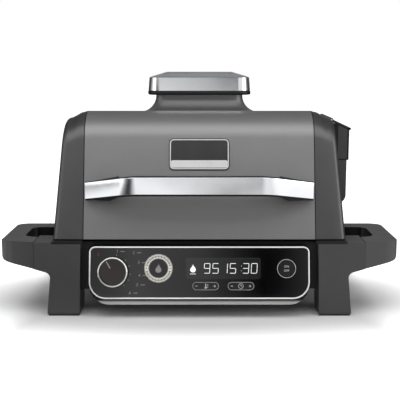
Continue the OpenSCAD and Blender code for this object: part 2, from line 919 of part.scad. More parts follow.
module pill(w, h) {
    square([w - h, h], center = true);
    for (s = [-1, 1])
        translate([s * (w - h) / 2, 0]) circle(d = h, $fn = 48);
}

module panel_fascia() {
    color("#141414") on_panel() {
        difference() {
            translate([0, 0, -fascia_t]) linear_extrude(fascia_t) difference() {
                polygon(panel_outline(fascia_w, fascia_h / 2, fascia_h / 2,
                    bezel_r_top - bezel_w, bezel_r_low - bezel_w));
                translate([knob_x, knob_y]) circle(d = knob_shaft_d + 2, $fn = 48);
                translate([flavour_x, row_high]) circle(d = flavour_d + 2 * button_gap, $fn = 64);
                translate([start_x, row_high]) circle(d = start_d + 2 * button_gap, $fn = 64);
                translate([display_x, row_high]) square([display_w - 6, display_h - 6], center = true);
                for (x = [temp_x, time_x])
                    translate([x, row_low]) pill(rocker_w + 2 * button_gap, rocker_h + 2 * button_gap);
            }
            translate([display_x, row_high, -1]) linear_extrude(2)
                polygon(soft_rect(display_w, display_h, 3));
        }
        for (x = [-1, 1], y = [-1, 1])
            translate([x * (fascia_w / 2 - 3 * frame_wall), y * (fascia_h / 2 - 2.6 * frame_wall),
                -fascia_t - board_gap])
                cylinder(h = board_gap + 0.5, d = post_d, $fn = 32);
    }
}

module display_lens() {
    color("#2a2c2e") on_panel(display_x, row_high) translate([0, 0, -1])
        linear_extrude(1) polygon(soft_rect(display_w, display_h, 3));
}

module control_board() {
    color("darkgreen") on_panel() translate([0, 0, -fascia_t - board_gap - board_t])
        linear_extrude(board_t) square([fascia_w - 4 * frame_wall, fascia_h - 4 * frame_wall], center = true);
}

module knob_encoder() {
    h = board_gap - 1;
    color("gray") on_panel(knob_x, knob_y) translate([0, 0, -fascia_t - board_gap])
        linear_extrude(h) difference() {
            square([14, 14], center = true);
            circle(d = knob_shaft_d + 2 * fit, $fn = 48);
        }
}

module button_domes() {
    z = -fascia_t - board_gap;
    h = board_gap - flange_t - touch - button_travel - touch;
    color("black") on_panel() {
        for (x = [flavour_x, start_x])
            translate([x, row_high, z]) cylinder(h = h, d1 = 12, d2 = 8, $fn = 32);
        for (x = [temp_x, time_x], s = [-1, 1])
            translate([x + s * (rocker_w / 2 - 7), row_low, z])
                cylinder(h = board_gap - rocker_gap - 1, d1 = 7, d2 = 5, $fn = 32);
    }
}

module flavour_trim_ring() {
    color("#cfc7b6") on_panel(flavour_x, row_high) linear_extrude(0.6) difference() {
        circle(d = flavour_ring_d, $fn = 96);
        circle(d = flavour_d + 2 * button_gap, $fn = 96);
    }
}

module knob_ring() {
    color("silver") on_panel(knob_x, knob_y) translate([0, 0, touch]) rotate_extrude($fn = 96)
        translate([knob_d / 2 - knob_ring_w, 0])
            polygon([[0, 0], [knob_ring_w, 0], [knob_ring_w, knob_h - 2], [knob_ring_w - 1, knob_h - 0.6],
                [0, knob_h - 1]]);
}

module knob_core() {
    r = knob_d / 2 - knob_ring_w;
    color("#1c1a19") on_panel(knob_x, knob_y) difference() {
        union() {
            translate([0, 0, touch]) cylinder(h = knob_h - 2, r = r, $fn = 96);
            translate([0, 0, -fascia_t - board_gap + 1])
                cylinder(h = fascia_t + board_gap + 2, d = knob_shaft_d, $fn = 48);
        }
        rotate([0, 0, 120]) translate([7, -0.8, knob_h - 2.2]) cube([r - 9, 1.6, 2]);
    }
}

module round_button(x, d) {
    on_panel(x, row_high) {
        translate([0, 0, -fascia_t - touch]) cylinder(h = fascia_t + touch + button_proud, d = d, $fn = 64);
        translate([0, 0, -fascia_t - touch - flange_t])
            cylinder(h = flange_t, d = d + 2 * (button_gap + flange_w), $fn = 64);
    }
}

module flavour_button() {
    color("#2b2826") round_button(flavour_x, flavour_d);
}

module start_button() {
    color("#151515") round_button(start_x, start_d);
}

module rocker(x) {
    on_panel(x, row_low) {
        translate([0, 0, -fascia_t - rocker_gap])
            linear_extrude(fascia_t + rocker_gap + button_proud) pill(rocker_w - 2 * touch, rocker_h);
        translate([0, 0, -fascia_t - rocker_gap - flange_t]) linear_extrude(flange_t)
            pill(rocker_w / 2, rocker_h + 2 * (button_gap + 1));
    }
}

module temp_rocker() {
    color("#151515") rocker(temp_x);
}

module time_rocker() {
    color("#151515") rocker(time_x);
}

// ---------- lid ----------

module lid_shell() {
    outline = lid_outline();
    color("#6e6e70") difference() {
        along_x(outline, -middle_w / 2, middle_w / 2);
        along_x(lid_outline(lid_t, 0, 1), -middle_w / 2 - 1, middle_w / 2 + 1);
        slab(soft_rect(neck_w - 8, neck_d - 8, 16), crest_z - 20, big);
    }
}

// Passage for smoke from the pellet box into the lid, from x0 to x1.
module smoke_duct(x0, x1) {
    box([x0, x1], [pellet_y - duct_w / 2, pellet_y + duct_w / 2],
        [lid_z + duct_z, lid_z + duct_z + duct_h]);
}

// End cap as one closed skin: outer and inner rings run from the seam to the rounded outer edge.
module lid_end(hole) {
    seam = middle_w / 2;
    steps = 5;
    run = end_w - end_edge;
    stations = concat(
        [[seam, 0, 0, 0], [seam + 0.38 * run, 0.3, end_drop * 0.25, 0.3],
            [seam + 0.73 * run, 0.8, end_drop * 0.7, 0.7]],
        [for (i = [0:steps])
            let (a = 90 * i / steps)
            [lid_w / 2 - end_edge + end_edge * sin(a), 1.2 + end_edge * (1 - cos(a)), end_drop, 1]]
    );
    outer = [for (s = stations) end_ring(s, 0)];
    inner = [for (s = stations) end_ring(s, lid_t)];
    n = len(outer[0]);
    last = len(stations) - 1;
    first = (last + 1) * n;
    walls = [for (k = [0:last - 1]) each band(k * n, (k + 1) * n, n, false)];
    lining = [for (k = [0:last - 1]) each band(first + k * n, first + (k + 1) * n, n, false)];
    edges = [for (k = [0:last - 1], e = [0, n - 1])
        let (a = k * n + e, b = a + n, c = first + b, d = first + a, quad = [[a, c, b], [a, d, c]])
        each e == 0 ? quad : flip(quad)];
    sill = [last * n, last * n + n - 1, first + last * n + n - 1, first + last * n];
    difference() {
        polyhedron(
            concat(flat(outer), flat(inner)),
            concat(walls, flip(fan(last * n, n)), flip(lining), fan(first + last * n, n),
                flip(band(0, first, n, false)), edges,
                [[sill[1], sill[0], sill[3]], [sill[1], sill[3], sill[2]]])
        );
        if (hole)
            smoke_duct(duct_x, big);
    }
}

// One ring of the end cap: station [x, inset, drop, share of the lean], thickness t inside it.
function end_ring(s, t) =
    [for (p = lid_outline(s[1] + t, s[2]))
        [s[0] - (s[0] > middle_w / 2 ? t * s[3] : 0) - s[3] * (p.y - lid_z) * tan(end_lean), p.x, p.y]];

module lid_end_right() {
    color("#545456") lid_end(true);
}

module lid_end_left() {
    color("#545456") mirror([1, 0, 0]) lid_end(false);
}

module lid_liner() {
    half = lid_w / 2 - liner_gap - end_edge;
    sill = lid_z + liner_t;
    color("gray") difference() {
        union() {
            along_x(liner_outline(), -half, half);
            along_x([[lid_front(lid_z, lid_t), lid_z], [lid_d / 2 - lid_t, lid_z],
                [lid_d / 2 - lid_t, sill], [lid_front(sill, lid_t), sill]], -middle_w / 2, middle_w / 2);
        }
        along_x(liner_outline(liner_t, 1), -half + liner_t, half - liner_t);
        translate([0, 0, liner_top - 5]) cylinder(h = 20, d = shaft_d + 6, $fn = 48);
        smoke_duct(half - 5, big);
    }
}

module lid_seal() {
    w = lid_w - 2 * liner_gap - 2 * end_edge;
    color("black") difference() {
        slab(soft_rect(w + 6, lid_d - 2 * liner_gap, 16), rim_top + pot_t + touch, lid_z);
        slab(soft_rect(w - 8, lid_d - 2 * liner_gap - 14, 10), 0, big);
    }
}

// Ring of the chimney's neck at z above the lid's top, whose fall it follows by a share.
function neck_ring(w, d, r, z, share) =
    [for (p = soft_rect(w, d, r)) [p.x, p.y, z + lid_top(p.y * share)]];

module chimney_neck() {
    steps = 8;
    turns = [for (i = [0:steps]) 90 * i / steps];
    outer = [for (a = turns)
        let (grow = 2 * neck_flare * (1 - sin(a)))
        neck_ring(neck_w + grow, neck_d + grow, 16 + grow / 2, neck_flare * (1 - cos(a)), 1 - a / 90)];
    inner = [for (a = turns) neck_ring(neck_w - 8, neck_d - 8, 12, neck_flare * (1 - cos(a)), 1 - a / 90)];
    color("#6e6e70") tube(
        concat(outer, [neck_ring(neck_w, neck_d, 16, neck_h, 0)]),
        concat(inner, [neck_ring(neck_w - 8, neck_d - 8, 12, neck_h, 0)])
    );
}

module chimney_gasket() {
    color("black") difference() {
        slab(soft_rect(cap_w + 1, cap_d + 1, cap_corner), neck_top, cap_z);
        slab(soft_rect(neck_w - 8, neck_d - 8, 12), 0, big);
    }
}

module chimney_cap() {
    w = [cap_w, cap_w - 4, cap_w - 10, cap_w * 0.66];
    d = [cap_d, cap_d - 4, cap_d - 10, cap_d * 0.5];
    z = [cap_z, cap_z + band_h - 1.5, cap_z + band_h, cap_z + band_h + hip_h];
    outer = [for (i = [0:3]) [for (p = soft_rect(w[i], d[i], cap_corner - 2 * i, 6)) [p.x, p.y, z[i]]]];
    inner = [for (i = [0:3])
        [for (p = soft_rect(w[i] - 2 * cap_t, d[i] - 2 * cap_t, cap_corner - cap_t - 2 * i, 6))
            [p.x, p.y, z[i] - (i == 0 ? 0 : cap_t)]]];
    color("silver") difference() {
        cup(outer, inner);
        for (x = [-48:24:48])
            box([x - 8, x + 8], [0, cap_d], [cap_z + 8, cap_z + 13]);
    }
}

module fan_motor() {
    z0 = liner_top + 2;
    color("gray") difference() {
        union() {
            translate([0, 0, z0]) cylinder(h = motor_h, d = motor_d, $fn = 64);
            translate([0, 0, z0 + motor_h]) cylinder(h = 3, d = 16, $fn = 48);
            slab(soft_rect(motor_d + 14, 16, 4), liner_top, z0 + 2);
        }
        translate([0, 0, liner_top - 1]) cylinder(h = big, d = shaft_d + 2 * fit, $fn = 48);
    }
}

module motor_shaft() {
    color("silver") translate([0, 0, fan_top - blade_h - 4])
        cylinder(h = liner_top + motor_h - fan_top + blade_h + 4, d = shaft_d, $fn = 48);
}

module fan_impeller() {
    hub = 24;
    color("silver") difference() {
        union() {
            translate([0, 0, fan_top - 1.5]) cylinder(h = 1.5, d = fan_d, $fn = 96);
            translate([0, 0, fan_top - blade_h]) cylinder(h = blade_h, d = hub, $fn = 48);
            for (i = [0:blades - 1])
                rotate([0, 0, 360 * i / blades]) translate([hub / 2 - 1, 0, fan_top - blade_h])
                    rotate([0, 0, 24]) translate([0, -0.6, 0])
                        cube([(fan_d - hub) / 2 - 4, 1.2, blade_h - 1]);
        }
        translate([0, 0, fan_top - blade_h - 1]) cylinder(h = blade_h + 2, d = shaft_d, $fn = 48);
    }
}

module fan_guard() {
    top = liner_top - liner_t;
    low = guard_low;
    r = guard_r;
    color("silver") difference() {
        translate([0, 0, low]) cylinder(h = top - low, r = r, $fn = 96);
        translate([0, 0, low + 1.5]) cylinder(h = top - low, r = r - 1.5, $fn = 96);
        for (a = [0:15:345])
            rotate([0, 0, a]) translate([24, -2, low - 1]) cube([r - 32, 4, 4]);
        for (a = [0:20:340])
            rotate([0, 0, a]) translate([r - 5, -6, low + 6]) cube([10, 12, top - low - 12]);
    }
}

// Share of the sloping end that is run through at x, eased over the bend.
function grip_share(x) =
    let (t = abs(x) - grip_half)
    (t < -grip_bend ? 0 : t > grip_bend ? t : pow(t + grip_bend, 2) / 4 / grip_bend) / grip_ramp;

// Steel strip's front face and middle height at x.
function grip_front(x) =
    grip_y + grip_share(x) * (lid_front(lid_z + grip_z) - grip_gap - grip_y);

function grip_level(x) = lid_z + grip_z - grip_fall * grip_share(x);

// Stations along one bend of the handle.
function grip_bends() = [for (i = [-2:2]) grip_half + grip_bend * i / 2];

module lid_handle_strip() {
    h = strip_h / 2;
    half = concat(grip_bends(), [grip_end]);
    xs = concat([for (i = [len(half) - 1:-1:0]) -half[i]], half);
    rings = [for (x = xs)
        let (y = grip_front(x), z = grip_level(x))
        [[x, y + strip_t, z - h], [x, y + strip_t, z + h], [x, y, z + h], [x, y, z - h]]];
    color("silver") skin(rings);
}

// Grip behind the strip, with a foot at each end that meets the lid.
module lid_handle_grip() {
    bends = grip_bends();
    start = grip_half + grip_bend;
    color("black") {
        for (s = [0, 1])
            mirror([s, 0, 0]) skin([
                grip_ring(start, grip_t, 1),
                grip_foot(start + 4, 5),
                grip_foot(start + 14, 8),
                grip_foot(grip_end - 24, 6),
                grip_foot(grip_end - 2, 2)
            ]);
        skin([for (x = concat([for (i = [4:-1:0]) -bends[i]], bends)) grip_ring(x, grip_t, 1)]);
    }
}

function grip_ring(x, depth, hang) =
    let (y = grip_front(x) + strip_t, z = grip_level(x), h = strip_h / 2)
    [[x, y + depth, z - h - hang + 2], [x, y + depth, z + h - 3], [x, y, z + h - 2], [x, y, z - h - hang + 1]];

function grip_foot(x, hang) =
    let (y = grip_front(x) + strip_t, z = grip_level(x), h = strip_h / 2, low = z - h - hang)
    [[x, lid_front(low), low], [x, lid_front(z + h - 2), z + h - 2], [x, y, z + h - 2], [x, y, low + 1]];

module blank_badge() {
    z = lid_z + badge_z;
    color("gray") translate([0, lid_front(z), z]) rotate([90 - front_lean, 0, 0])
        translate([0, badge_h / 2, 0]) {
            linear_extrude(badge_t - 0.6) polygon(soft_rect(badge_w, badge_h, 7.5));
            translate([0, 0, badge_t - 0.6]) linear_extrude(0.6) difference() {
                polygon(soft_rect(badge_w - 1.6, badge_h - 1.6, 6.7));
                polygon(soft_rect(badge_w - 7, badge_h - 7, 4));
            }
        }
}

module lid_hinge_leaves() {
    color("dimgray") both_sides()
        difference() {
            union() {
                box([hinge_pitch / 2 - knuckle_w / 2, hinge_pitch / 2 + knuckle_w / 2],
                    [lid_d / 2, lid_d / 2 + leaf_t], [lid_z + 2, lid_z + 2 + leaf_h]);
                translate([hinge_pitch / 2 - knuckle_w / 2, 0, 0])
                    box([0, knuckle_w], [lid_d / 2, hinge_y], [hinge_z, hinge_z + knuckle_r]);
                translate([hinge_pitch / 2 - knuckle_w / 2, hinge_y, hinge_z]) rotate([0, 90, 0])
                    cylinder(h = knuckle_w, r = knuckle_r, $fn = 48);
            }
            translate([hinge_pitch / 2 - knuckle_w / 2 - 1, hinge_y, hinge_z]) rotate([0, 90, 0])
                cylinder(h = knuckle_w + 2, d = pin_d + 2 * fit, $fn = 48);
        }
}

module temperature_probe() {
    half = lid_w / 2 - liner_gap - end_edge - liner_t;
    color("silver") translate([-half, 60, lid_z + 60]) rotate([0, 90, 0]) {
        cylinder(h = 3, d = 14, $fn = 48);
        cylinder(h = 28, d = 5, $fn = 32);
    }
}

// ---------- pellet box ----------

// Underside of the closed flap at x, and the box's edge below it.
function flap_line(x) = flap_turn_z - (x - flap_x) * tan(flap_slope) - flap_t / 2 / cos(flap_slope);

function box_edge(x) = flap_line(x) - (flap_knuckle + touch - flap_t / 2) / cos(flap_slope);

// Outline of the box in [x, z], inset by t from its outer walls.
function pellet_outline(t) =
    let (
        low = lid_z + pellet_low + t,
        step = lid_z + pellet_step + t,
        out = pellet_x - t,
        shoulder = flap_turn_z - 12
    )
    rounded([
        [lid_end(low) + t, low, 0], [out - pellet_tuck, low, 14 - t], [out - pellet_tuck, step, 0],
        [out, step, 0],
        [out, box_edge(out) - t, 0], [flap_x - 3, box_edge(flap_x - 3) - t, 0],
        [lid_end(shoulder) + t, shoulder, 0]
    ]);

module pellet_box() {
    y0 = pellet_y - pellet_len / 2;
    y1 = y0 + pellet_len;
    color("#3c3c3e") difference() {
        union() {
            along_y(pellet_outline(0), y0, y1);
            for (s = [y0, y1 - ear_t]) {
                box([flap_x - flap_knuckle, flap_x + flap_knuckle], [s, s + ear_t],
                    [flap_turn_z - 10, flap_turn_z]);
                translate([flap_x, s, flap_turn_z]) rotate([-90, 0, 0])
                    cylinder(h = ear_t, r = flap_knuckle, $fn = 32);
            }
        }
        translate([flap_x, y0 - 1, flap_turn_z]) rotate([-90, 0, 0])
            cylinder(h = pellet_len + 2, d = flap_pin_d, $fn = 32);
        along_y(pellet_outline(pellet_t), y0 + pellet_t, y1 - pellet_t);
        box([flap_x + 3, pellet_x - pellet_t], [y0 + pellet_t, y1 - pellet_t],
            [lid_z + pellet_step + 20, big]);
        smoke_duct(0, flap_x + 2);
    }
}

module pellet_cup() {
    y = pellet_len / 2 - pellet_t - 3;
    x0 = flap_x + 3;
    x1 = pellet_x - pellet_t - 2;
    z0 = lid_z + pellet_step + 12;
    z1 = flap_line(x1) - 8;
    color("silver") translate([0, pellet_y, 0]) difference() {
        box([x0, x1], [-y, y], [z0, z1]);
        box([x0 + 1, x1 - 1], [-y + 1, y - 1], [z0 + 1, z1 + 1]);
        for (j = [-4:4], z = [z0 + 6, z0 + 15])
            box([x0 - 1, x0 + 2], [j * 11 - 3, j * 11 + 3], [z, z + 4]);
    }
}

module pellet_igniter() {
    color("silver")
        translate([pellet_x - 22, pellet_y - pellet_len / 2 + pellet_t, lid_z + pellet_step + 2])
        rotate([-90, 0, 0]) {
            cylinder(h = 5, d = 14, $fn = 32);
            cylinder(h = 62, d = 8, $fn = 32);
        }
}

module pellet_flap() {
    y = pellet_len / 2 - ear_t - touch;
    color("#464648") translate([flap_x, pellet_y, flap_turn_z]) rotate([0, flap_slope, 0]) difference() {
        union() {
            box([flap_knuckle - 0.8, flap_len], [-y, y], [-flap_t / 2, flap_t / 2]);
            box([flap_len - 10, flap_len + lip_len], [-lip_w / 2, lip_w / 2],
                [-flap_t / 2 - lip_t, -flap_t / 2 + 0.2]);
            translate([0, -y, 0]) rotate([-90, 0, 0]) cylinder(h = 2 * y, r = flap_knuckle, $fn = 32);
        }
        translate([0, -y - 1, 0]) rotate([-90, 0, 0])
            cylinder(h = 2 * y + 2, d = flap_pin_d + 2 * fit, $fn = 32);
    }
}

module flap_hinge_pin() {
    color("silver") translate([flap_x, pellet_y - pellet_len / 2, flap_turn_z]) rotate([-90, 0, 0])
        cylinder(h = pellet_len, d = flap_pin_d, $fn = 32);
}

// ---------- assembly ----------

base_shell();
rim_frame();
bottom_cover();
cooking_pot();
grill_grate();
heating_element();
element_terminal();
front_leg_left();
front_leg_right();
rear_leg_left();
rear_leg_right();
side_handle_left();
side_handle_right();
rubber_feet();
control_housing();
panel_bezel();
panel_fascia();
display_lens();
control_board();
knob_encoder();
flavour_trim_ring();
button_domes();
hinge_brackets();
hinge_pins();
power_inlet();
tray_rails();
lid_pads();
cover_screws();
grease_tray();
knob_ring();
knob_core();
flavour_button();
start_button();
temp_rocker();
time_rocker();
lid_shell();
lid_end_left();
lid_end_right();
lid_liner();
lid_seal();
chimney_neck();
chimney_gasket();
chimney_cap();
lid_handle_strip();
lid_handle_grip();
blank_badge();
lid_hinge_leaves();
fan_motor();
fan_guard();
fan_impeller();
motor_shaft();
pellet_box();
pellet_cup();
pellet_igniter();
temperature_probe();
pellet_flap();
flap_hinge_pin();
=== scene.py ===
import json
import math

import bmesh
import bpy
from mathutils import Matrix, Vector


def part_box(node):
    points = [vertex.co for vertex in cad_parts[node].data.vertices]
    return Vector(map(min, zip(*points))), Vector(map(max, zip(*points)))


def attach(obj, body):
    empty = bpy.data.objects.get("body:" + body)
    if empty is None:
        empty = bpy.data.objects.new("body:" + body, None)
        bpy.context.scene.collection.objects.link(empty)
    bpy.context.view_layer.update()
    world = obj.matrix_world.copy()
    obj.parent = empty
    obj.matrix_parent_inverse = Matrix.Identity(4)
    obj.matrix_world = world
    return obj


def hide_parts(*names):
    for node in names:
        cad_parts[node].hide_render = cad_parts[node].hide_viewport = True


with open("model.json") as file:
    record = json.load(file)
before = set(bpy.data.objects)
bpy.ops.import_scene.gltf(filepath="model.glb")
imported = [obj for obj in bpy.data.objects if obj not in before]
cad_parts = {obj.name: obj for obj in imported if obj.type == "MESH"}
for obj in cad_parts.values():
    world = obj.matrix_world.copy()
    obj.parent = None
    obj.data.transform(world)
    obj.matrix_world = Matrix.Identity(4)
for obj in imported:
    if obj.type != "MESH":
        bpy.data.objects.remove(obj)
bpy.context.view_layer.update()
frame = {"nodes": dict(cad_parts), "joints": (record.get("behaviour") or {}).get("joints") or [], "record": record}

MM = 0.001
DATA = bpy.data
SCENE = bpy.context.scene
JOINTS = {joint["name"]: joint for joint in frame["joints"]}
SLOT_OF = {part["node"]: part["material_slot"] for part in frame["record"]["subparts"]}
BODY_OF = {
    node: body
    for body, nodes in frame["record"]["behaviour"]["bodies"].items()
    for node in nodes
}


# ---------- camera, lights and stage ----------

LENS = 77.92  # millimetres
CAMERA_SHIFT = 0.00175  # share of the picture's width
CAMERA_PLACE = (0.0, -1.475, 0.3808)
CAMERA_DIP = 9.186  # degrees below level


def make_camera():
    """Camera on the object's middle plane, a little above it."""
    data = DATA.cameras.new("camera")
    data.sensor_width = 36.0
    data.lens = LENS
    data.shift_x = CAMERA_SHIFT
    data.clip_end = 20.0
    camera = DATA.objects.new("camera", data)
    camera.location = CAMERA_PLACE
    camera.rotation_euler = (math.radians(90.0 - CAMERA_DIP), 0.0, 0.0)
    SCENE.collection.objects.link(camera)
    SCENE.camera = camera


def area_light(name, place, target, size, power, glossy=True):
    """Rectangular lamp aimed at a target and hidden from the camera."""
    data = DATA.lights.new(name, "AREA")
    data.shape = "RECTANGLE"
    data.size, data.size_y = size
    data.energy = power
    lamp = DATA.objects.new(name, data)
    lamp.location = place
    direction = Vector(target) - Vector(place)
    lamp.rotation_euler = direction.to_track_quat("-Z", "Y").to_euler()
    lamp.visible_camera = False
    lamp.visible_glossy = glossy
    SCENE.collection.objects.link(lamp)


# Brightness of the studio by direction round the object, in degrees from its front, as polished
# parts mirror it: LOW near the horizon and on the floor, HIGH above it.
LOW_CARDS = [
    (-180, 0.42), (-165, 0.3), (-145, 0.03), (-112, 0.1), (-91, 0.62), (-80, 0.95), (-74, 0.5),
    (-68, 0.42), (-64, 0.75), (-60, 1.05), (-54, 1.1), (-48, 0.36), (-38, 0.05), (-29, 0.05),
    (-21, 0.5), (-13, 0.95), (-6, 1.0), (-3, 0.86), (0, 0.72), (3, 0.56), (6, 0.44),
    (10, 0.6), (22, 0.86), (38, 0.86), (50, 1.05), (70, 1.1), (83, 0.8), (102, 0.16), (126, 0.04),
    (160, 0.2), (180, 0.42),
]
HIGH_CARDS = [
    (-180, 0.3), (-160, 0.15), (-120, 0.08), (-95, 0.4), (-70, 0.7), (-35, 0.95), (-12, 0.6),
    (-7.5, 0.38), (-6.5, 0.44), (-5.4, 0.55), (-4.4, 0.76), (-3.3, 0.62), (-2.2, 0.57),
    (0, 0.5), (0.6, 0.37),
    (1.5, 0.28), (2.5, 0.18), (3.0, 0.10), (3.6, 0.02), (4.6, 0.01), (5.2, 0.02), (5.7, 0.06),
    (6.3, 0.13), (9, 0.5), (18, 0.85), (60, 0.95), (90, 0.6), (120, 0.08),
    (160, 0.15), (180, 0.3),
]


WHITE = (1.0, 1.0, 1.0, 1.0)
CARDS_MEET = (0.152, 0.168)  # height of a direction, as a sine, where LOW turns into HIGH
CEILING_RISE = (0.55, 0.9)  # and where the cards turn into the ceiling
CEILING = 0.2  # brightness of the ceiling in mirrors
SOFT_LIGHT = 0.22  # strength of the light from all round


def around(tree, vector, stops):
    """Card colour by the direction of a vector round the vertical, and the vector's height."""
    split = tree.add("ShaderNodeSeparateXYZ")
    tree.link(vector, split.inputs[0])
    ahead = tree.math("MULTIPLY", split.outputs["Y"], -1.0)
    turn = tree.math("ARCTAN2", split.outputs["X"], ahead)
    share = tree.remap(turn, 0.0, 1.0, -math.pi, math.pi)
    node = tree.add("ShaderNodeValToRGB")
    elements = node.color_ramp.elements
    while len(elements) < len(stops):
        elements.new(0.5)
    # Places first and colours after, because a moved stop can change its number.
    for element, (degrees, _) in zip(elements, stops):
        element.position = degrees / 360 + 0.5
    for element, (_, level) in zip(elements, stops):
        element.color = (level, level * 1.005, level * 1.02, 1.0)
    tree.link(share, node.inputs[0])
    return node.outputs["Color"], split.outputs["Z"]


def make_world():
    """White backdrop; grey soft light; bright and dark cards for what polished parts mirror."""
    world = DATA.worlds.new("studio")
    SCENE.world = world
    world.use_nodes = True
    tree = Nodes(world.node_tree)
    tree.clear()
    path = tree.add("ShaderNodeLightPath")
    place = tree.add("ShaderNodeTexCoord")
    low, height = around(tree, place.outputs["Generated"], LOW_CARDS)
    high, _ = around(tree, place.outputs["Generated"], HIGH_CARDS)
    sides = tree.tint(tree.remap(height, 0.0, 1.0, *CARDS_MEET), low, high)
    ceiling = tree.tint(tree.remap(height, 0.0, 1.0, *CEILING_RISE), sides, rgba(CEILING))
    cards = tree.add("ShaderNodeBackground", Strength=1.0)
    tree.link(ceiling, cards.inputs["Color"])
    soft = tree.add("ShaderNodeBackground", Color=WHITE, Strength=SOFT_LIGHT)
    white = tree.add("ShaderNodeBackground", Color=WHITE, Strength=1.0)
    shiny = tree.blend(path.outputs["Is Glossy Ray"], soft.outputs[0], cards.outputs[0])
    seen = tree.math("MAXIMUM", path.outputs["Is Camera Ray"], path.outputs["Is Transmission Ray"])
    out = tree.add("ShaderNodeOutputWorld")
    tree.link(tree.blend(seen, shiny, white.outputs[0]), out.inputs["Surface"])


FLOOR_REACH = 12.0
SHADOW = (0.25, 0.14)  # half sizes of the oval of plain floor, from which it fades to white
SHADOW_AHEAD = 0.12  # how far the oval's middle is in front of the object's
SHADOW_FADE = (1.0, 1.85)  # start and end of the fade, in ovals
PAST_X = (0.235, 0.285)  # floor nearer the middle than the first of these stays plain
PAST_Y = (0.215, 0.33)


def make_stage():
    """Pale floor that turns into the white backdrop away from the object."""
    mesh = DATA.meshes.new("floor")
    corners = ((-1, -1), (1, -1), (1, 1), (-1, 1))
    mesh.from_pydata([(x * FLOOR_REACH, y * FLOOR_REACH, 0) for x, y in corners], [],
                     [(0, 1, 2, 3)])
    floor = DATA.objects.new("floor", mesh)
    SCENE.collection.objects.link(floor)
    paint = DATA.materials.new("floor_paper")
    paint.use_nodes = True
    tree = Nodes(paint.node_tree)
    tree.clear()
    path = tree.add("ShaderNodeLightPath")
    place = tree.add("ShaderNodeTexCoord")
    oval = tree.add("ShaderNodeVectorMath", operation="MULTIPLY_ADD")
    tree.link(place.outputs["Object"], oval.inputs[0])
    oval.inputs[1].default_value = (1.0 / SHADOW[0], 1.0 / SHADOW[1], 0.0)
    oval.inputs[2].default_value = (0.0, SHADOW_AHEAD / SHADOW[1], 0.0)
    away = tree.add("ShaderNodeVectorMath", operation="LENGTH")
    tree.link(oval.outputs[0], away.inputs[0])
    sides = tree.add("ShaderNodeVectorMath", operation="ABSOLUTE")
    tree.link(place.outputs["Object"], sides.inputs[0])
    split = tree.add("ShaderNodeSeparateXYZ")
    tree.link(sides.outputs[0], split.inputs[0])
    outside = tree.math("MAXIMUM", tree.remap(split.outputs["X"], 0.0, 1.0, *PAST_X),
                        tree.remap(split.outputs["Y"], 0.0, 1.0, *PAST_Y))
    pale = tree.add("ShaderNodeBsdfDiffuse", Color=(0.86, 0.86, 0.87, 1.0))
    paper = tree.add("ShaderNodeBsdfDiffuse", Color=(0.85, 0.85, 0.86, 1.0))
    glow = tree.add("ShaderNodeEmission", Color=WHITE)
    fade = tree.remap(away.outputs["Value"], 0.0, 1.0, *SHADOW_FADE)
    clear = tree.math("MULTIPLY", fade, outside)
    tree.link(clear, glow.inputs["Strength"])
    lit = tree.add("ShaderNodeAddShader")
    tree.link(paper.outputs[0], lit.inputs[0])
    tree.link(glow.outputs[0], lit.inputs[1])
    cards, _ = around(tree, place.outputs["Object"], LOW_CARDS)
    card = tree.add("ShaderNodeEmission")
    tree.link(cards, card.inputs["Color"])
    near = tree.blend(clear, pale.outputs[0], card.outputs[0])
    shiny = tree.blend(path.outputs["Is Glossy Ray"], pale.outputs[0], near)
    seen = tree.blend(path.outputs["Is Camera Ray"], shiny, lit.outputs[0])
    out = tree.add("ShaderNodeOutputMaterial")
    tree.link(seen, out.inputs["Surface"])
    mesh.materials.append(paint)


# ---------- materials ----------

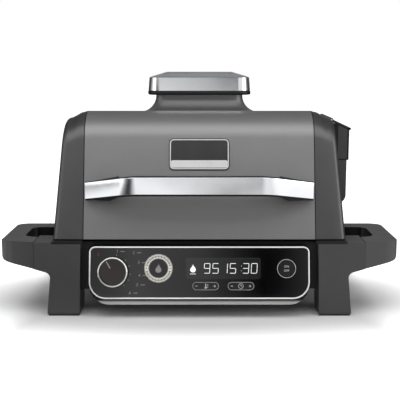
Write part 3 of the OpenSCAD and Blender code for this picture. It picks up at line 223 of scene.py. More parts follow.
class Nodes:
    """Short calls for building a node tree."""

    def __init__(self, tree):
        self.tree = tree

    def clear(self):
        self.tree.nodes.clear()

    def add(self, kind, **values):
        node = self.tree.nodes.new(kind)
        for key, value in values.items():
            name = key.replace("_", " ")
            if name in node.inputs:
                node.inputs[name].default_value = value
            else:
                setattr(node, key, value)
        return node

    def link(self, a, b):
        self.tree.links.new(a, b)

    def math(self, operation, a, b):
        node = self.add("ShaderNodeMath", operation=operation)
        for socket, value in zip(node.inputs, (a, b)):
            if isinstance(value, (int, float)):
                socket.default_value = value
            else:
                self.link(value, socket)
        return node.outputs[0]

    def blend(self, factor, first, second):
        """Mix of two shaders."""
        node = self.add("ShaderNodeMixShader")
        for socket, value in zip(node.inputs, (factor, first, second)):
            self.link(value, socket)
        return node.outputs[0]

    def scale_colour(self, shader, factor):
        """Multiplies the colour that reaches a Principled shader."""
        node = self.add("ShaderNodeVectorMath", operation="SCALE")
        self.link(shader.inputs["Base Color"].links[0].from_socket, node.inputs[0])
        self.link(factor, node.inputs["Scale"])
        self.link(node.outputs[0], shader.inputs["Base Color"])

    def coordinates(self, scale=(1.0, 1.0, 1.0)):
        place = self.add("ShaderNodeTexCoord")
        mapping = self.add("ShaderNodeMapping")
        mapping.inputs["Scale"].default_value = scale
        self.link(place.outputs["Object"], mapping.inputs["Vector"])
        return mapping.outputs[0]

    def noise(self, scale, detail=3.0, stretch=(1.0, 1.0, 1.0)):
        node = self.add("ShaderNodeTexNoise", Scale=scale, Detail=detail, Roughness=0.5)
        self.link(self.coordinates(stretch), node.inputs["Vector"])
        return node.outputs["Fac"]

    def remap(self, value, low, high, start=0.3, end=0.7):
        node = self.add("ShaderNodeMapRange")
        node.inputs["From Min"].default_value = start
        node.inputs["From Max"].default_value = end
        node.inputs["To Min"].default_value = low
        node.inputs["To Max"].default_value = high
        self.link(value, node.inputs["Value"])
        return node.outputs[0]

    def bump(self, height, distance, under=None):
        node = self.add("ShaderNodeBump", Strength=1.0, Distance=distance)
        self.link(height, node.inputs["Height"])
        if under is not None:
            self.link(under, node.inputs["Normal"])
        return node.outputs[0]

    def tint(self, factor, dark, light):
        node = self.add("ShaderNodeMix", data_type="RGBA")
        colours = [s for s in node.inputs if s.type == "RGBA"]
        for socket, colour in zip(colours, (dark, light)):
            if isinstance(colour, tuple):
                socket.default_value = colour
            else:
                self.link(colour, socket)
        self.link(factor, node.inputs[0])
        return [s for s in node.outputs if s.type == "RGBA"][0]


def rgba(colour, factor=1.0):
    if isinstance(colour, (int, float)):
        colour = (colour, colour, colour)
    return tuple(min(1.0, c * factor) for c in colour) + (1.0,)


def finish(name, colour, rough, metallic=0.0, grain=None, wave=None, cloud=0.06,
           rough_spread=0.05, coat=0.0, coat_rough=0.1, level=0.5, stretch=(1.0, 1.0, 1.0)):
    """Principled material with colour clouds, roughness clouds, a fine grain and a soft wave.

    grain and wave are (size of a feature in metres, height of the bump in metres).
    """
    material = DATA.materials.new(name)
    material.use_nodes = True
    tree = Nodes(material.node_tree)
    shader = material.node_tree.nodes["Principled BSDF"]
    shader.inputs["Metallic"].default_value = metallic
    shader.inputs["Specular IOR Level"].default_value = level
    shader.inputs["Coat Weight"].default_value = coat
    shader.inputs["Coat Roughness"].default_value = coat_rough
    clouds = tree.noise(38.0, 4.0)
    fine = tree.noise(1.0 / grain[0], 2.0, stretch) if grain else clouds
    tone = tree.math("ADD", tree.math("MULTIPLY", clouds, 0.6), tree.math("MULTIPLY", fine, 0.4))
    colours = tree.tint(tree.remap(tone, 0.0, 1.0), rgba(colour, 1.0 - cloud),
                        rgba(colour, 1.0 + cloud))
    tree.link(colours, shader.inputs["Base Color"])
    tree.link(tree.remap(tone, max(0.02, rough - rough_spread), rough + rough_spread),
              shader.inputs["Roughness"])
    normal = None
    if wave:
        normal = tree.bump(tree.noise(1.0 / wave[0], 2.0), wave[1])
    if grain:
        normal = tree.bump(fine, grain[1], under=normal)
    if normal:
        tree.link(normal, shader.inputs["Normal"])
    return material


ALONG_X = (0.02, 1.0, 1.0)  # stretches a grain along X
FLAKE = 0.10  # how much the metal flakes lighten and darken a paint
FLAKES_PER_METRE = 2600.0


def metallic_paint(name, colour, rough):
    """Satin paint with fine metal flake under a thin clear coat."""
    material = finish(name, colour, rough, metallic=0.7, grain=(0.0007, 0.000012),
                      wave=(0.012, 0.00002), cloud=0.03, rough_spread=0.03, coat=0.12,
                      coat_rough=0.3)
    tree = Nodes(material.node_tree)
    cells = tree.add("ShaderNodeTexVoronoi", Scale=FLAKES_PER_METRE)
    tree.link(tree.coordinates(), cells.inputs["Vector"])
    sparkle = tree.remap(cells.outputs["Distance"], 1.0 + FLAKE, 1.0 - FLAKE, 0.1, 0.7)
    tree.scale_colour(material.node_tree.nodes["Principled BSDF"], sparkle)
    return material


def two_tone(material, below, above, start, end):
    """Colour of a material changed with height: below start one factor, above end the other."""
    tree = Nodes(material.node_tree)
    split = tree.add("ShaderNodeSeparateXYZ")
    tree.link(tree.coordinates(), split.inputs[0])
    factor = tree.remap(split.outputs["Z"], below, above, start, end)
    tree.scale_colour(material.node_tree.nodes["Principled BSDF"], factor)


def glowing(name, colour, strength):
    """Lit mark behind glass, a little uneven as a backlight is."""
    material = finish(name, colour, 0.4, cloud=0.05)
    tree = Nodes(material.node_tree)
    shader = material.node_tree.nodes["Principled BSDF"]
    light = tree.tint(tree.remap(tree.noise(220.0), 0.0, 1.0), rgba(colour, 0.85), rgba(colour))
    tree.link(light, shader.inputs["Emission Color"])
    shader.inputs["Emission Strength"].default_value = strength
    return material


def make_materials():
    """Every finish by name: the record's slots, then the inks and the lit marks."""
    table = {}

    def put(name, *values, kind=finish, **more):
        table[name] = kind(name, *values, **more)
        return table[name]

    plastic = dict(grain=(0.0009, 0.00003), wave=(0.02, 0.00003), rough_spread=0.05)
    brushed = dict(metallic=1.0, grain=(0.00035, 0.000006), stretch=ALONG_X, cloud=0.05,
                   rough_spread=0.07)
    put("tub_plastic", 0.014, 0.52, level=0.3, **plastic)
    put("black_plastic", 0.005, 0.5, level=0.25, **plastic)
    put("enamel", 0.035, 0.33, grain=(0.0016, 0.00002), wave=(0.01, 0.00005))
    put("cast_plate", 0.035, 0.48, metallic=0.2, grain=(0.0012, 0.00008), wave=(0.006, 0.0001))
    put("element_steel", (0.11, 0.10, 0.095), 0.42, metallic=0.9, grain=(0.0008, 0.00002),
        cloud=0.25, rough_spread=0.1)
    put("terminal_ceramic", (0.72, 0.69, 0.62), 0.35, grain=(0.001, 0.00002))
    put("leg_plastic", (0.056, 0.0545, 0.053), 0.45, **plastic)
    put("handle_plastic", (0.061, 0.0605, 0.0595), 0.34, **plastic)
    put("foot_rubber", 0.02, 0.75, grain=(0.0012, 0.00006))
    housing = put("housing_plastic", (0.55, 0.535, 0.515), 0.5, level=0.2, **plastic)
    two_tone(housing, 1.0, 0.006, 0.0255, 0.029)
    put("bezel_steel", 0.92, 0.3, metallic=1.0, grain=(0.0008, 0.000001), cloud=0.02,
        rough_spread=0.03)
    put("fascia_gloss", (0.0012, 0.0012, 0.0012), 0.05, grain=(0.0012, 0.0000004),
        rough_spread=0.02, level=0.9)
    put("display_glass", 0.02, 0.07, grain=(0.0009, 0.0000005), cloud=0.08, rough_spread=0.02,
        level=0.9)
    put("board_green", (0.015, 0.10, 0.04), 0.4, grain=(0.001, 0.00003), cloud=0.2)
    put("encoder_metal", 0.45, 0.35, metallic=1.0, grain=(0.0006, 0.00001))
    put("trim_cream", (0.95, 0.92, 0.84), 0.42, grain=(0.0006, 0.000008), cloud=0.04)
    put("seal_rubber", 0.004, 0.42, grain=(0.0012, 0.00003), level=0.35)
    put("hinge_steel", 0.03, 0.42, metallic=0.3, grain=(0.0008, 0.00004))
    put("pin_steel", 0.6, 0.28, metallic=1.0, grain=(0.0004, 0.000008))
    put("rail_steel", 0.5, 0.38, **brushed)
    put("tray_steel", 0.04, 0.38, metallic=0.4, grain=(0.0012, 0.00003))
    put("knob_chrome", 0.85, 0.09, metallic=1.0, grain=(0.0006, 0.000002), cloud=0.02,
        rough_spread=0.02)
    put("knob_black", (0.022, 0.017, 0.015), 0.3, grain=(0.0008, 0.00001), cloud=0.1)
    put("key_black", 0.011, 0.16, grain=(0.001, 0.000002), rough_spread=0.03, coat=0.4)
    put("lid_paint", (0.238, 0.237, 0.237), 0.45, kind=metallic_paint)
    put("end_paint", (0.090, 0.0895, 0.089), 0.36, kind=metallic_paint)
    put("liner_steel", (0.42, 0.42, 0.41), 0.36, metallic=1.0, cloud=0.10, grain=(0.0012, 0.00002),
        rough_spread=0.1)
    put("cap_steel", (0.82, 0.83, 0.84), 0.10, **dict(brushed, rough_spread=0.03))
    put("strip_steel", (0.89, 0.90, 0.91), 0.13, **dict(brushed, rough_spread=0.04))
    put("badge_metal", 0.93, 0.3, metallic=0.35, grain=(0.0008, 0.000001), cloud=0.03,
        rough_spread=0.03)
    put("motor_metal", 0.45, 0.4, metallic=0.9, grain=(0.0009, 0.00003))
    put("guard_steel", 0.42, 0.36, metallic=1.0, grain=(0.0008, 0.00001), cloud=0.12)
    put("fan_aluminium", 0.6, 0.32, metallic=1.0, grain=(0.0006, 0.00001))
    put("box_paint", (0.060, 0.060, 0.061), 0.4, kind=metallic_paint)
    put("cup_steel", (0.36, 0.34, 0.31), 0.4, metallic=1.0, cloud=0.25, grain=(0.0008, 0.00002),
        rough_spread=0.1)
    put("igniter_ceramic", (0.66, 0.63, 0.56), 0.5, grain=(0.0009, 0.00003))
    put("print_white", (0.62, 0.62, 0.61), 0.5, cloud=0.05)
    put("print_grey", (0.32, 0.32, 0.31), 0.5, cloud=0.06)
    put("print_red", (0.20, 0.035, 0.03), 0.5, cloud=0.06)
    put("ink_brown", (0.05, 0.042, 0.036), 0.5, cloud=0.06)
    put("badge_dark", 0.045, 0.35, metallic=0.3, grain=(0.0006, 0.00001))
    put("display_light", (0.86, 0.89, 0.90), 0.7, kind=glowing)
    return table


# ---------- mesh helpers ----------

def place(name, mesh, body, slot, material=None, replaces=()):
    """Object from a mesh, on a body and with the finish of a slot."""
    piece = DATA.objects.new(name, mesh)
    SCENE.collection.objects.link(piece)
    mesh.materials.clear()
    mesh.materials.append(material or FINISH[slot])
    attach(piece, body)
    if replaces:
        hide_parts(*replaces)
    return piece


def smooth(mesh, angle=35.0):
    mesh.shade_smooth()
    mesh.set_sharp_from_angle(angle=math.radians(angle))


def soften(piece, width, segments=3, angle=30.0):
    """Rounded edges with flat faces kept flat in the shading."""
    bevel = piece.modifiers.new("edges", "BEVEL")
    bevel.width = width
    bevel.segments = segments
    bevel.limit_method = "ANGLE"
    bevel.angle_limit = math.radians(angle)
    bevel.use_clamp_overlap = True
    bevel.miter_outer = "MITER_ARC"
    bevel.harden_normals = False
    shade = piece.modifiers.new("shade", "WEIGHTED_NORMAL")
    shade.keep_sharp = False
    shade.weight = 80
    piece.data.shade_smooth()


PIERCED = ("base_shell", "bottom_cover")  # flat walls with rows of holes stay triangulated


def clean_copy(node, name):
    """The CAD node's mesh with its doubles merged and most flat edges dissolved."""
    mesh = frame["nodes"][node].data.copy()
    mesh.name = name
    tool = bmesh.new()
    tool.from_mesh(mesh)
    bmesh.ops.remove_doubles(tool, verts=tool.verts, dist=2e-6)
    if node not in PIERCED:
        bmesh.ops.dissolve_limit(tool, angle_limit=math.radians(0.4), verts=tool.verts,
                                 edges=tool.edges)
    tool.to_mesh(mesh)
    tool.free()
    for layer in list(mesh.attributes):
        if layer.name == "custom_normal":
            mesh.attributes.remove(layer)
    return mesh


def dress(node, width, segments=3, angle=30.0):
    """Piece of the node's own shape with rounded edges."""
    name = node + "_skin"
    piece = place(name, clean_copy(node, name), BODY_OF[node], SLOT_OF[node], replaces=(node,))
    soften(piece, width, segments, angle)
    return piece


def smooth_copy(node, angle):
    """Piece of the node's own shape, shaded smooth across its small facets."""
    name = node + "_skin"
    mesh = clean_copy(node, name)
    smooth(mesh, angle)
    place(name, mesh, BODY_OF[node], SLOT_OF[node], replaces=(node,))


def mesh_from(name, vertices, faces, angle=35.0):
    mesh = DATA.meshes.new(name)
    mesh.from_pydata([tuple(v) for v in vertices], [], faces)
    mesh.validate()
    tool = bmesh.new()
    tool.from_mesh(mesh)
    bmesh.ops.recalc_face_normals(tool, faces=tool.faces)
    tool.to_mesh(mesh)
    tool.free()
    smooth(mesh, angle)
    return mesh


def loft(rings, capped=True):
    """Vertices and faces through closed rings of equal length."""
    n = len(rings[0])
    vertices = [point for ring in rings for point in ring]
    faces = []
    for k in range(len(rings) - 1):
        for j in range(n):
            i = (j + 1) % n
            faces.append((k * n + j, (k + 1) * n + j, (k + 1) * n + i, k * n + i))
    if capped:
        faces.append(tuple(range(n)))
        faces.append(tuple((len(rings) - 1) * n + j for j in reversed(range(n))))
    return vertices, faces


def lathe(profile, matrix, steps=96):
    """Closed profile of (radius, height) turned about Z, then placed."""
    rings = []
    for k in range(steps):
        a = 2 * math.pi * k / steps
        rings.append([matrix @ Vector((r * math.cos(a), r * math.sin(a), z)) for r, z in profile])
    vertices, faces = loft(rings + [rings[0]], capped=False)
    total = len(profile) * steps
    return vertices[:total], [tuple(i % total for i in face) for face in faces]


def plate(outline, depth, matrix, holes=()):
    """Flat plate: outline of (x, y) from z = 0 to depth, bridged round its holes."""
    tool = bmesh.new()
    loops = []
    for points in (outline, *holes):
        ring = [tool.verts.new((x, y, 0.0)) for x, y in points]
        loops += [tool.edges.new((ring[i], ring[(i + 1) % len(ring)])) for i in range(len(ring))]
    bmesh.ops.triangle_fill(tool, use_beauty=True, use_dissolve=True, edges=loops)
    grown = bmesh.ops.extrude_face_region(tool, geom=list(tool.faces))
    moved = [g for g in grown["geom"] if isinstance(g, bmesh.types.BMVert)]
    bmesh.ops.translate(tool, verts=moved, vec=(0.0, 0.0, depth))
    bmesh.ops.recalc_face_normals(tool, faces=tool.faces)
    bmesh.ops.transform(tool, matrix=matrix, verts=tool.verts)
    mesh = DATA.meshes.new("plate")
    tool.to_mesh(mesh)
    tool.free()
    return mesh


def soft_rect(w, d, r, n=8):
    """Rounded rectangle as a list of (x, y)."""
    points = []
    for cx, cy, start in ((w / 2 - r, d / 2 - r, 0), (-w / 2 + r, d / 2 - r, 90),
                          (-w / 2 + r, -d / 2 + r, 180), (w / 2 - r, -d / 2 + r, 270)):
        for i in range(n + 1):
            a = math.radians(start + 90 * i / n)
            points.append((cx + r * math.cos(a), cy + r * math.sin(a)))
    return points


def circle(r, n=64, x=0.0, y=0.0):
    return [(x + r * math.cos(2 * math.pi * i / n), y + r * math.sin(2 * math.pi * i / n))
            for i in range(n)]


def shifted(points, x, y):
    return [(px + x, py + y) for px, py in points]


def join(name, meshes):
    """One mesh from several."""
    tool = bmesh.new()
    for mesh in meshes:
        tool.from_mesh(mesh)
        DATA.meshes.remove(mesh)
    joined = DATA.meshes.new(name)
    tool.to_mesh(joined)
    tool.free()
    smooth(joined)
    return joined


# ---------- frames of reference ----------

QUARTER = math.radians(90)
KNOB_UP = 1 * MM  # the knob's middle above the panel's


def facing(up, normal, origin):
    """Frame with X to the right, Y along up and Z along the normal."""
    return Matrix((
        (1.0, up.x, normal.x, origin.x),
        (0.0, up.y, normal.y, origin.y),
        (0.0, up.z, normal.z, origin.z),
        (0.0, 0.0, 0.0, 1.0)))


def panel_matrix():
    """Panel frame: X to the right, Y up along the panel, Z out of it; origin at its middle."""
    knob = JOINTS["knob_turn"]
    normal = Vector(knob["axis"]).normalized()
    up = normal.cross(Vector((1.0, 0.0, 0.0)))
    return facing(up, normal, Vector((0.0, *knob["pos_m"][1:])) - up * KNOB_UP)


PANEL = panel_matrix()


def on_panel(x=0.0, y=0.0, z=0.0):
    return PANEL @ Matrix.Translation((x, y, z))


def panel_place(node):
    """Middle of a node in the panel frame."""
    low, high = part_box(node)
    return PANEL.inverted() @ ((low + high) / 2)


# ---------- lid ----------

SEAM_LIFT = 0.12 * MM
SEAM_T = 0.4 * MM


def seam(node, name, start, end, body):
    """Thin dark line that follows a node's surface between two places along X."""
    mesh = clean_copy(node, name)
    tool = bmesh.new()
    tool.from_mesh(mesh)
    for x, way in ((min(start, end), -1), (max(start, end), 1)):
        everything = list(tool.verts) + list(tool.edges) + list(tool.faces)
        bmesh.ops.bisect_plane(tool, geom=everything, plane_co=(x, 0, 0), plane_no=(way, 0, 0),
                               clear_outer=True)
    walls = [f for f in tool.faces if abs(f.normal.x) > 0.9]
    bmesh.ops.delete(tool, geom=walls, context="FACES")
    tool.normal_update()
    for v in tool.verts:
        v.co += Vector((0.0, v.normal.y, v.normal.z)).normalized() * SEAM_LIFT
    tool.to_mesh(mesh)
    tool.free()
    piece = place(name, mesh, body, "black_plastic")
    thick = piece.modifiers.new("thick", "SOLIDIFY")
    thick.thickness = SEAM_T
    thick.offset = -1.0


def build_lid():
    smooth_copy("lid_shell", 30.0)
    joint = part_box("lid_shell")[1].x
    near, far = joint + 0.1 * MM, joint + 1.5 * MM
    seam("lid_end_right", "lid_seam_right", near, far, "lid")
    seam("lid_end_left", "lid_seam_left", -near, -far, "lid")
    for side in ("left", "right"):
        smooth_copy("lid_end_" + side, 32.0)
    smooth_copy("lid_liner", 30.0)
    smooth_copy("chimney_neck", 40.0)
    dress("lid_seal", 0.8 * MM)
    gasket = dress("chimney_gasket", 2.6 * MM, 4)
    gasket.name = "chimney_gasket_roll"
    dress("chimney_cap", 1.2 * MM, 3, 20.0)
    dress("lid_hinge_leaves", 0.5 * MM, 2)
    build_handle()
    build_badge()


GRIP_HALF, GRIP_BEND, GRIP_RAMP = 104 * MM, 14 * MM, 67 * MM  # the strip's line, as in its solid
STRIP_T = 2.4 * MM
STRIP_R = 0.8 * MM
BACK_START = 0.5 * MM  # depth of the backing's face behind the strip's
BACK_MORE = 1.5 * MM  # backing past the strip's back, at its ends
BACK_DEEP = 7.5 * MM  # and as much more than that behind its middle
BACK_ABOVE, BACK_BELOW = 1.0 * MM, 2.6 * MM
BACK_R = 0.7 * MM


def build_handle():
    """Steel strip and its backing on the eased line of its solid, and the grip in black."""
    low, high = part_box("lid_handle_strip")
    solid = [v.co for v in frame["nodes"]["lid_handle_strip"].data.vertices]

    def span(points):
        return min(v.z for v in points), max(v.z for v in points)

    end = [v for v in solid if v.x > high.x - 0.001]
    middle = span([v for v in solid if abs(v.x) < 0.05 or v.y < low.y + 0.0005])
    tall = middle[1] - middle[0]
    middle_z = sum(middle) / 2
    end_z = sum(span(end)) / 2
    end_y = min(v.y for v in end)
    fall = middle_z - end_z
    reach = end_y - low.y

    def share(x):
        """Share of the sloping end that is run through at x."""
        beyond = abs(x) - GRIP_HALF
        if beyond <= -GRIP_BEND:
            return 0.0
        if beyond >= GRIP_BEND:
            return beyond / GRIP_RAMP
        return (beyond + GRIP_BEND) ** 2 / (4 * GRIP_BEND) / GRIP_RAMP

    def slope(x):
        return (share(x + 1e-4) - share(x - 1e-4)) / 2e-4 * reach

    def ring(x, depth0, depth1, up, down, r):
        """Rounded rectangle across the strip at x, depths measured inwards from its face."""
        normal = Vector((-slope(x), 1.0)).normalized()
        at = Vector((x, low.y + share(x) * reach))
        z = middle_z - share(x) * fall
        points = []
        for u, v in soft_rect(depth1 - depth0, up + down, r, 3):
            q = at + normal * ((depth0 + depth1) / 2 + u)
            points.append(Vector((q.x, q.y, z + (up - down) / 2 + v)))
        return points

    curve = [GRIP_HALF + GRIP_BEND * k / 7 for k in range(-7, 8)]
    half = [0.0, 0.045] + curve + [0.135, 0.155, high.x]
    line = [-x for x in reversed(half[1:])] + half
    bar = [ring(x, 0.0, STRIP_T, tall / 2, tall / 2, STRIP_R) for x in line]
    mesh = mesh_from("lid_handle_bar", *loft(bar), angle=40.0)
    place("lid_handle_bar", mesh, "lid", "strip_steel", replaces=("lid_handle_strip",))
    back = [ring(x, BACK_START, STRIP_T + BACK_MORE + BACK_DEEP * max(0.0, 1.0 - 3.0 * share(x)),
                 tall / 2 + BACK_ABOVE, tall / 2 + BACK_BELOW, BACK_R) for x in line]
    mesh = mesh_from("handle_backing", *loft(back), angle=40.0)
    place("handle_backing", mesh, "lid", "black_plastic")
    grip = dress("lid_handle_grip", 1.2 * MM, 3)
    grip.data.materials[0] = FINISH["black_plastic"]


BADGE_W, BADGE_H, BADGE_R = 92 * MM, 48.6 * MM, 7.5 * MM
BADGE_T = 2.4 * MM
BADGE_BASE = 1.5 * MM  # thickness of the dark plate under the fields
BADGE_SPLIT = -BADGE_H * 0.185  # height of the line between the two fields


def build_badge():
    """Blank plate: dark edge, silver frame, dark upper field and silver lower field."""
    low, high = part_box("blank_badge")
    mesh = frame["nodes"]["blank_badge"].data
    face = max(mesh.polygons, key=lambda f: f.area)
    normal = face.normal.copy()
    if normal.y > 0:
        normal = -normal
    up = Vector((1.0, 0.0, 0.0)).cross(normal)
    if up.z < 0:
        up = -up
    front = max((v.co for v in mesh.vertices), key=lambda c: c.dot(normal))
    middle = (low + high) / 2
    middle += normal * ((front - middle).dot(normal) - BADGE_T)
    matrix = facing(up, normal, middle)
    w, h, r, split = BADGE_W, BADGE_H, BADGE_R, BADGE_SPLIT
    base = plate(soft_rect(w, h, r), BADGE_BASE, matrix)
    place("badge_edge", base, "lid", "badge_metal", FINISH["badge_dark"], replaces=("blank_badge",))
    rim = plate(soft_rect(w - 2.8 * MM, h - 2.8 * MM, r - 1.4 * MM), 0.9 * MM,
                matrix @ Matrix.Translation((0, 0, BADGE_BASE)),
                holes=[soft_rect(w - 5.8 * MM, h - 5.8 * MM, r - 2.9 * MM)])
    piece = place("badge_frame", rim, "lid", "badge_metal")
    soften(piece, 0.3 * MM, 2)
    upper_h = h / 2 - 3.5 * MM - split - 1.0 * MM
    upper = plate(soft_rect(w - 7.4 * MM, upper_h, 3.2 * MM), 0.4 * MM,
                  matrix @ Matrix.Translation((0, split + 1.0 * MM + upper_h / 2, BADGE_BASE)))
    place("badge_field", upper, "lid", "badge_metal", FINISH["badge_dark"])
    lower_h = split + h / 2 - 3.5 * MM - 0.4 * MM
    lower = plate(soft_rect(w - 6.2 * MM, lower_h, 3.0 * MM), 0.6 * MM,
                  matrix @ Matrix.Translation((0, split - 0.2 * MM - lower_h / 2, BADGE_BASE)))
    piece = place("badge_strip", lower, "lid", "badge_metal")
    soften(piece, 0.2 * MM, 2)


# ---------- control panel ----------

PRINT_T = 0.12 * MM  # thickness of the marks on the keys
PRINT_Z = 0.78 * MM  # height of the keys' marks above the panel
RING_Z = 0.58 * MM  # height of the marks on the cream ring
LABEL_T = 0.1 * MM  # thickness and height of the marks on the glass
LABEL_Z = 0.01 * MM
LEAN = 0.06  # slant of the digits
SEGMENTS = {
    "0": "abcdef", "1": "bc", "2": "abged", "3": "abgcd", "4": "fgbc", "5": "afgcd",
    "6": "afgedc", "7": "abc", "8": "abcdefg", "9": "abcdfg",
}


def segment(kind, w, h, t):
    """Six-sided bar of a seven-segment digit, w wide and h high."""
    middles = {
        "a": (0, h / 2), "g": (0, 0), "d": (0, -h / 2),
        "f": (-w / 2, h / 4), "b": (w / 2, h / 4), "e": (-w / 2, -h / 4), "c": (w / 2, -h / 4),
    }
    x, y = middles[kind]
    gap = 0.12 * t
    if kind in "agd":
        a, b = w / 2 - gap, t / 2
        return [(x - a, y), (x - a + b, y - b), (x + a - b, y - b), (x + a, y), (x + a - b, y + b),
                (x - a + b, y + b)]
    a, b = h / 4 - gap, t / 2
    return [(x, y - a), (x + b, y - a + b), (x + b, y + a - b), (x, y + a), (x - b, y + a - b),
            (x - b, y - a + b)]


def digit_plates(text, x, y, w, h, t, pitch):
    """Plates for a row of digits; a colon takes half a place."""
    plates = []
    for char in text:
        if char == ":":
            for s in (-1, 1):
                dots = soft_rect(t, t, t * 0.3, 3)
                plates.append(plate(shifted(dots, x + s * h / 4 * LEAN, y + s * h / 4), LABEL_T,
                                    on_panel(z=LABEL_Z)))
            x += pitch * 0.55
            continue
        for kind in SEGMENTS[char]:
            points = [(px + py * LEAN + x, py + y) for px, py in segment(kind, w, h, t)]
            plates.append(plate(points, LABEL_T, on_panel(z=LABEL_Z)))
        x += pitch
    return plates


def flame(size):
    """Plain drop-shaped flame mark."""
    side = [(0.0, -0.5), (0.22, -0.44), (0.34, -0.26), (0.33, -0.04), (0.20, 0.16), (0.08, 0.32),
            (0.04, 0.5)]
    left = [(-0.06, 0.3), (-0.20, 0.08), (-0.33, -0.08), (-0.34, -0.26), (-0.22, -0.44)]
    return [(x * size, y * size) for x, y in side + left]


def arc_points(r, start, end, n=12):
    return [(r * math.cos(math.radians(start + (end - start) * i / n)),
             r * math.sin(math.radians(start + (end - start) * i / n))) for i in range(n + 1)]


def arc_band(r0, r1, start, end, n=12):
    return arc_points(r1, start, end, n) + list(reversed(arc_points(r0, start, end, n)))


def text_mesh(text, size, matrix, depth):
    """Small flat lettering in the built-in font, centred."""
    curve = DATA.curves.new("letters", "FONT")
    curve.body = text
    curve.size = size
    curve.extrude = depth / 2
    curve.align_x = "CENTER"
    curve.align_y = "CENTER"
    curve.resolution_u = 3
    holder = DATA.objects.new("letters", curve)
    SCENE.collection.objects.link(holder)
    bpy.context.view_layer.update()
    graph = bpy.context.evaluated_depsgraph_get()
    mesh = DATA.meshes.new_from_object(holder.evaluated_get(graph))
    DATA.objects.remove(holder)
    DATA.curves.remove(curve)
    mesh.transform(matrix @ Matrix.Translation((0, 0, depth / 2)))
    return mesh


def build_panel():
    dress("control_housing", 1.2 * MM)
    dress("panel_bezel", 1.1 * MM, 3)
    dress("panel_fascia", 0.3 * MM, 2)
    build_knob()
    build_keys()
    build_display()
    build_labels()


KNOB_TOP = 15 * MM
KNOB_FOOT = 0.3 * MM  # gap between the knob and the panel
KNOB_WALL = 2.8 * MM  # width of the bright rim
KNOB_CROWN = 0.35 * MM  # how far the face bulges
POINTER_TURN = math.radians(120)


def knob_middle():
    return PANEL.inverted() @ Vector(JOINTS["knob_turn"]["pos_m"])


def build_knob():
    """Bright rim, gently crowned face, pointer and a dark seat under them."""
    low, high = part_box("knob_ring")
    middle = knob_middle()
    matrix = on_panel(middle.x, middle.y)
    r = (high.x - low.x) / 2
    top = KNOB_TOP
    inner = r - KNOB_WALL
    rise = top - 2.0 * MM
    profile = [(inner, KNOB_FOOT), (r - 0.5 * MM, KNOB_FOOT), (r, 0.8 * MM), (r, 2.2 * MM),
               (r - 0.1 * MM, top - 3.0 * MM), (r - 0.6 * MM, top - 1.7 * MM),
               (r - 1.5 * MM, top - 0.9 * MM), (r - 2.4 * MM, top - 1.0 * MM), (inner, rise)]
    mesh = mesh_from("knob_rim", *lathe(profile, matrix, 128), angle=50.0)
    place("knob_rim", mesh, "knob", "knob_chrome", replaces=("knob_ring",))
    face = [(0.0, KNOB_FOOT), (inner, KNOB_FOOT), (inner, rise - 0.4 * MM),
            (inner - 0.5 * MM, rise)]
    for i in range(1, 9):
        q = inner * (1 - i / 9) - 0.5 * MM * (1 - i / 9)
        face.append((q, rise + KNOB_CROWN * (1 - (q / inner) ** 2)))
    face.append((0.0, rise + KNOB_CROWN))
    mesh = mesh_from("knob_face", *lathe(face, matrix, 96), angle=40.0)
    place("knob_face", mesh, "knob", "knob_black", replaces=("knob_core",))
    bar = plate(shifted(soft_rect(11.5 * MM, 1.5 * MM, 0.7 * MM, 4), inner - 7.2 * MM, 0), 0.6 * MM,
                matrix @ Matrix.Rotation(POINTER_TURN, 4, "Z")
                @ Matrix.Translation((0, 0, rise - 0.1 * MM)))
    place("knob_pointer", bar, "knob", "knob_black", FINISH["print_grey"])
    skirt = [(r + 1.0 * MM, 0.02 * MM), (r + 1.0 * MM, 0.25 * MM), (r - 2.0 * MM, 0.25 * MM),
             (r - 2.0 * MM, 0.02 * MM)]
    mesh = mesh_from("knob_seat", *lathe(skirt, matrix, 96), angle=40.0)
    place("knob_seat", mesh, "base", "black_plastic")


def ring_mesh(r0, r1, depth, matrix, n=96):
    return plate(circle(r1, n), depth, matrix, holes=[circle(r0, n)])


RING_TICKS = 48
TICK_HALF = 2.0  # degrees to each side of a tick's middle
ROCKER_W, ROCKER_H = 39.4 * MM, 12.3 * MM
SIGN_OUT = 13.6 * MM  # minus and plus to each side of a rocker's middle


def build_keys():
    build_flavour_button()
    build_start_button()
    build_rockers()


def build_flavour_button():
    """Cream ring with printed ticks round a dark disc with a flame."""
    spot = panel_place("flavour_trim_ring")
    ring = on_panel(spot.x, spot.y, RING_Z)
    dress("flavour_trim_ring", 0.25 * MM, 2)
    dress("flavour_button", 0.5 * MM, 3)
    ticks = []
    for k in range(RING_TICKS):
        a = 360 / RING_TICKS * k
        if k % (RING_TICKS // 2) in (0, 1, RING_TICKS // 2 - 1):
            continue  # room for the two dots
        r0, r1 = (16.6, 18.6) if k % 2 else (16.2, 19.0)
        tick = arc_band(r0 * MM, r1 * MM, a - TICK_HALF, a + TICK_HALF, 2)
        ticks.append(plate(tick, PRINT_T, ring))
    for side in (1, -1):
        ticks.append(plate(circle(0.9 * MM, 16, side * 17.6 * MM, 0.0), PRINT_T, ring))
    ticks.append(ring_mesh(14.2 * MM, 14.7 * MM, LABEL_T, ring))
    ticks.append(ring_mesh(20.0 * MM, 20.5 * MM, LABEL_T, ring))
    place("flavour_ticks", join("flavour_ticks", ticks), "base", "trim_cream", FINISH["ink_brown"])
    mark = plate(flame(13 * MM), PRINT_T, on_panel(spot.x, spot.y, PRINT_Z))
    place("flavour_mark", mark, "flavour_key", "key_black", FINISH["print_grey"])


